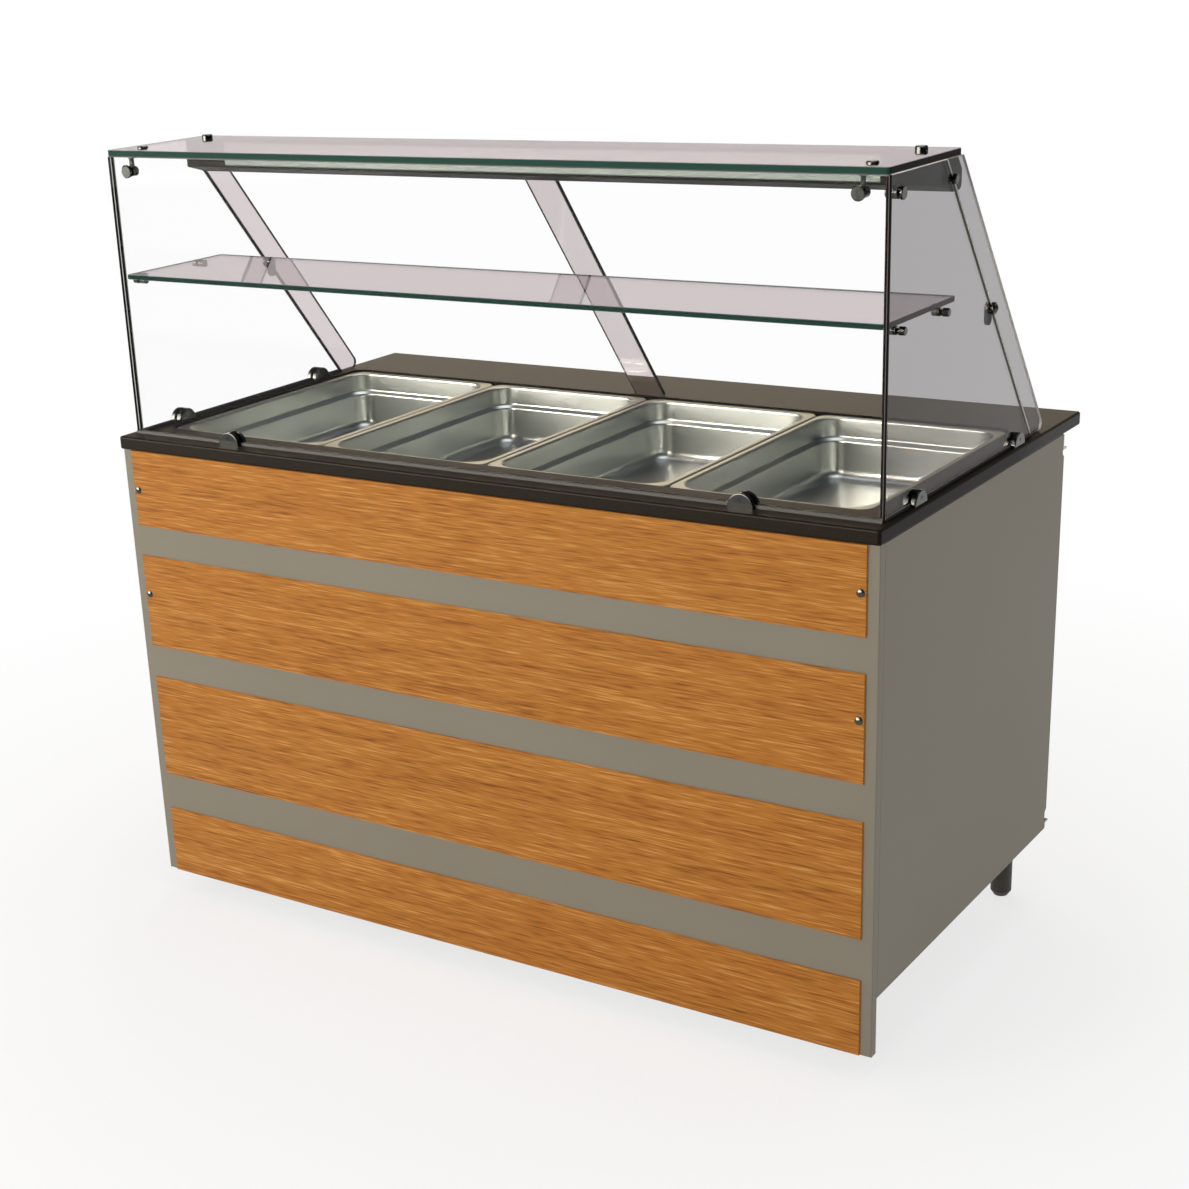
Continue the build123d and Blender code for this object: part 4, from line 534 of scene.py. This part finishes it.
# display: a smoked window with round corners, and seven-stroke figures with a degree ring on it
displayLook = {
    "place": (-540, 750), "half": (22.8, 10.8), "corner": 2.0, "cornerSteps": 4,
    "y": (328.65, 329.3), "figures": ((-9.5, "abcdef"), (1.5, "bcfg")), "figureHalf": (3.6, 6.2),
    "figureY": (-0.1, 0.12), "stroke": 0.75, "gap": 0.3, "degree": (9.5, 4.6),
    "degreeRing": ((1.7, -0.1, False), (1.7, 0.12, False), (0.9, 0.12, False), (0.9, -0.1, False)),
}
windowX, windowZ = displayLook["place"]
windowBack, windowFace = displayLook["y"]
halfWide, halfHigh = displayLook["half"]
corner, cornerSteps = displayLook["corner"], displayLook["cornerSteps"]
outline = []
for quarter, (signX, signZ) in enumerate(((1, 1), (-1, 1), (-1, -1), (1, -1))):
    for step in range(cornerSteps + 1):
        angle = math.radians(90 * (quarter + step / cornerSteps))
        outline.append((signX * (halfWide - corner) + corner * math.cos(angle),
                        signZ * (halfHigh - corner) + corner * math.sin(angle)))
window = runProfile(outline, (windowX, windowBack, windowZ), (windowX, windowFace, windowZ),
                    toRight, alongZ)
addPiece("displayWindow", [window], "counter", mouldedPlastic("smokedAcrylic"))
wide, high = displayLook["figureHalf"]
strokes = {
    "a": ((-wide, high), (wide, high)), "b": ((wide, high), (wide, 0)),
    "c": ((wide, 0), (wide, -high)), "d": ((-wide, -high), (wide, -high)),
    "e": ((-wide, 0), (-wide, -high)), "f": ((-wide, high), (-wide, 0)),
    "g": ((-wide, 0), (wide, 0)),
}
figureBack, figureFace = (windowFace + depth for depth in displayLook["figureY"])
thick, gap = displayLook["stroke"], displayLook["gap"]
figures = []
for shift, lit in displayLook["figures"]:
    for letter in lit:
        start, end = (Vector(point) for point in strokes[letter])
        run = (end - start).normalized()
        half = Vector((-run.y, run.x)) * thick
        start, end = start + run * gap, end - run * gap
        inner, outer = start + run * thick, end - run * thick
        points = (start, inner - half, outer - half, end, outer + half, inner + half)
        figures.append(runProfile([(p.x + shift, p.y) for p in points],
                                  (windowX, figureBack, windowZ), (windowX, figureFace, windowZ),
                                  toRight, alongZ))
degreeX, degreeZ = displayLook["degree"]
figures.append(turnProfile(displayLook["degreeRing"],
                           (windowX - degreeX, windowFace, windowZ + degreeZ), alongY))
addPiece("displayFigures", figures, "counter", mouldedPlastic("diffusedLedResin"))
print("counter: channel, screws and control marks in place")

# surround: the camera sees plain white, dull surfaces an even fill, and mirrors a dim room with
# a bright window at the front left, a grey roof and a pale, hazy wall behind the counter
roomLook = {
    "fill": 0.55, "dim": "#303331", "roof": "#747A7E", "roofFrom": (0.3, 0.85),
    "window": (-0.53, -0.79, 0.31), "windowFrom": (0.78, 0.97), "bright": "#FFF8E6",
    "windowGain": 20.0, "onePaneDepth": 1.5, "onePaneSlack": 1.0, "onePaneShare": 0.03,
    "behind": (-0.54, 0.84, 0.0), "behindFrom": (0.45, 0.8), "wallFrom": (0.27, 0.235),
    "horizon": "#DFD6D7", "haze": "#FFEABA", "hazeGain": 3.0, "hazeFrom": (0.185, 0.2),
}
world = bpy.data.worlds.new("studioSurround")
scene.world = world
world.use_nodes = True
world.cycles.sampling_method = "NONE"  # it is soft, so rays that meet it by chance are enough
sky = world.node_tree
sky.nodes.clear()
ray = addNode(sky, "ShaderNodeLightPath", {})
heading = addNode(sky, "ShaderNodeTexCoord", {})
axes = addNode(sky, "ShaderNodeSeparateXYZ", {}, {"Vector": (heading, "Generated")})
towards = addNode(sky, "ShaderNodeVectorMath", {"operation": "DOT_PRODUCT", 1: roomLook["window"]},
                  {0: (heading, "Generated")})
facing = addNode(sky, "ShaderNodeMapRange", {fromRange: roomLook["windowFrom"]},
                 {"Value": (towards, "Value")})
onePane = addNode(sky, "ShaderNodeMath",
                  {"operation": "COMPARE", 1: roomLook["onePaneDepth"],
                   2: roomLook["onePaneSlack"]},
                  {0: (ray, "Transmission Depth")})  # one or two glass faces on the way
veil = addNode(sky, "ShaderNodeMapRange", {toRange: (1.0, roomLook["onePaneShare"])},
               {"Value": onePane})
turned = addNode(sky, "ShaderNodeMath", {"operation": "MULTIPLY"},
                 {0: facing, 1: veil})  # no white glare on the worktop from behind
around = addNode(sky, "ShaderNodeMix",
                 {"data_type": "RGBA", colourA: linear(roomLook["dim"]),
                  colourB: linear(roomLook["bright"], roomLook["windowGain"])}, {mixShare: turned})
height = addNode(sky, "ShaderNodeMapRange", {fromRange: roomLook["roofFrom"]},
                 {"Value": (axes, "Z")})
above = addNode(sky, "ShaderNodeMix", {"data_type": "RGBA", colourB: linear(roomLook["roof"])},
                {mixShare: height, colourA: (around, colourOut)})
behind = addNode(sky, "ShaderNodeVectorMath", {"operation": "DOT_PRODUCT", 1: roomLook["behind"]},
                 {0: (heading, "Generated")})
broad = addNode(sky, "ShaderNodeMapRange", {fromRange: roomLook["behindFrom"]},
                {"Value": (behind, "Value")})
below = addNode(sky, "ShaderNodeMapRange", {fromRange: roomLook["wallFrom"]},
                {"Value": (axes, "Z")})
wall = addNode(sky, "ShaderNodeMath", {"operation": "MULTIPLY"}, {0: broad, 1: below})
lift = addNode(sky, "ShaderNodeMapRange", {fromRange: roomLook["hazeFrom"]}, {"Value": (axes, "Z")})
far = addNode(sky, "ShaderNodeMix",
              {"data_type": "RGBA", colourA: linear(roomLook["horizon"]),
               colourB: linear(roomLook["haze"], roomLook["hazeGain"])}, {mixShare: lift})
room = addNode(sky, "ShaderNodeMix", {"data_type": "RGBA"},
               {mixShare: wall, colourA: (above, colourOut), colourB: (far, colourOut)})
mirrored = addNode(sky, "ShaderNodeMath", {"operation": "MINIMUM", 1: 1.0},
                   {0: (ray, "Glossy Depth")})  # also where the reflection comes through glass
soft = addNode(sky, "ShaderNodeMix", {"data_type": "RGBA", colourA: (*[roomLook["fill"]] * 3, 1.0)},
               {mixShare: mirrored, colourB: (room, colourOut)})
seen = addNode(sky, "ShaderNodeMath", {"operation": "MAXIMUM"},
               {0: (ray, "Is Camera Ray"), 1: (ray, "Is Transmission Ray")})
direct = addNode(sky, "ShaderNodeMath", {"operation": "SUBTRACT", "use_clamp": True},
                 {0: seen, 1: mirrored})
shown = addNode(sky, "ShaderNodeMix", {"data_type": "RGBA", colourB: (1, 1, 1, 1)},
                {mixShare: direct, colourA: (soft, colourOut)})
glow = addNode(sky, "ShaderNodeBackground", {"Strength": 1.0}, {"Color": (shown, colourOut)})
addNode(sky, "ShaderNodeOutputWorld", {}, {"Surface": glow})

# floor: matt white that keeps the counter's shadow, and glows to plain white away from it
floorLook = {"colour": "#F2F2F1", "glow": 0.72, "fadeM": (0.9, 2.2), "reachM": 14.0}
reach = floorLook["reachM"]
floorMesh = bpy.data.meshes.new("studioFloor")
floorMesh.from_pydata([(-reach, -reach, 0), (reach, -reach, 0), (reach, reach, 0),
                       (-reach, reach, 0)], [], [(0, 1, 2, 3)])
floor = bpy.data.objects.new("studioFloor", floorMesh)
scene.collection.objects.link(floor)
floorPaint, paint, spot = startMaterial("whiteFloor")
ray = addNode(paint, "ShaderNodeLightPath", {})
glossy = addNode(paint, "ShaderNodeMath", {"operation": "MAXIMUM"},
                 {0: (ray, "Is Glossy Ray"), 1: (ray, "Is Transmission Ray")})
seen = addNode(paint, "ShaderNodeMath", {"operation": "MAXIMUM"},
               {0: (ray, "Is Camera Ray"), 1: glossy})
away = addNode(paint, "ShaderNodeVectorMath", {"operation": "LENGTH"}, {0: spot})
fade = addNode(paint, "ShaderNodeMapRange",
               {fromRange: floorLook["fadeM"], toRange: (floorLook["glow"], 1.0)},
               {"Value": (away, "Value")})
share = addNode(paint, "ShaderNodeMath", {"operation": "MULTIPLY"}, {0: seen, 1: fade})
matt = addNode(paint, "ShaderNodeBsdfDiffuse", {"Color": linear(floorLook["colour"])})
white = addNode(paint, "ShaderNodeEmission", {"Color": (1, 1, 1, 1), "Strength": 1.0})
both = addNode(paint, "ShaderNodeMixShader", {}, {0: share, 1: matt, 2: white})
addNode(paint, "ShaderNodeOutputMaterial", {}, {"Surface": both})
floorMesh.materials.append(floorPaint)

# lamps: a broad key from the front left, one above and a warm one behind
lampRows = {  # place and aim in metres, size in metres, watts, colour
    "keyLamp": ((-2.9, -4.4, 2.2), (0.0, 0.0, 0.8), 3.0, 98, "#FFFAF0"),
    "topLamp": ((0.2, 0.3, 4.2), (0.0, 0.0, 0.8), 2.4, 40, "#FFFFFF"),
    "rearLamp": ((-2.0, 3.1, 3.7), (0.0, 0.2, 0.8), 2.2, 30, "#FFE6C4"),
}
for lampName, (place, aim, size, watts, tint) in lampRows.items():
    lampData = bpy.data.lights.new(lampName, "AREA")
    lampData.shape = "SQUARE"
    lampData.size = size
    lampData.energy = watts
    lampData.color = linear(tint)[:3]
    lamp = bpy.data.objects.new(lampName, lampData)
    lamp.location = place
    lamp.rotation_euler = (Vector(aim) - Vector(place)).to_track_quat("-Z", "Y").to_euler()
    lamp.visible_transmission = False  # the lamps themselves do not show through the panes
    scene.collection.objects.link(lamp)
print("counter: floor, surround and", len(lampRows), "lamps")

# camera as the photograph was taken: standing, from the front right, looking a little down
cameraLook = {"place": (1.7889, -2.8469, 1.6147), "yaw": 34.86, "pitch": -20.40, "roll": -2.75,
              "sensor": 36.0, "lens": 62.0, "shift": (0.0734, 0.0891)}
yaw, pitch, roll = (math.radians(cameraLook[word]) for word in ("yaw", "pitch", "roll"))
ahead = Vector((-math.sin(yaw) * math.cos(pitch), math.cos(yaw) * math.cos(pitch), math.sin(pitch)))
level = Vector((math.cos(yaw), math.sin(yaw), 0))
upright = level.cross(ahead)
right = math.cos(roll) * level + math.sin(roll) * upright
top = -math.sin(roll) * level + math.cos(roll) * upright
cameraData = bpy.data.cameras.new("photoCamera")
cameraData.sensor_width = cameraLook["sensor"]
cameraData.lens = cameraLook["lens"]
cameraData.shift_x, cameraData.shift_y = cameraLook["shift"]
camera = bpy.data.objects.new("photoCamera", cameraData)
turn = Matrix((right, top, -ahead)).transposed()
camera.matrix_world = Matrix.Translation(cameraLook["place"]) @ turn.to_4x4()
scene.collection.objects.link(camera)
scene.camera = camera
print("counter: camera set")
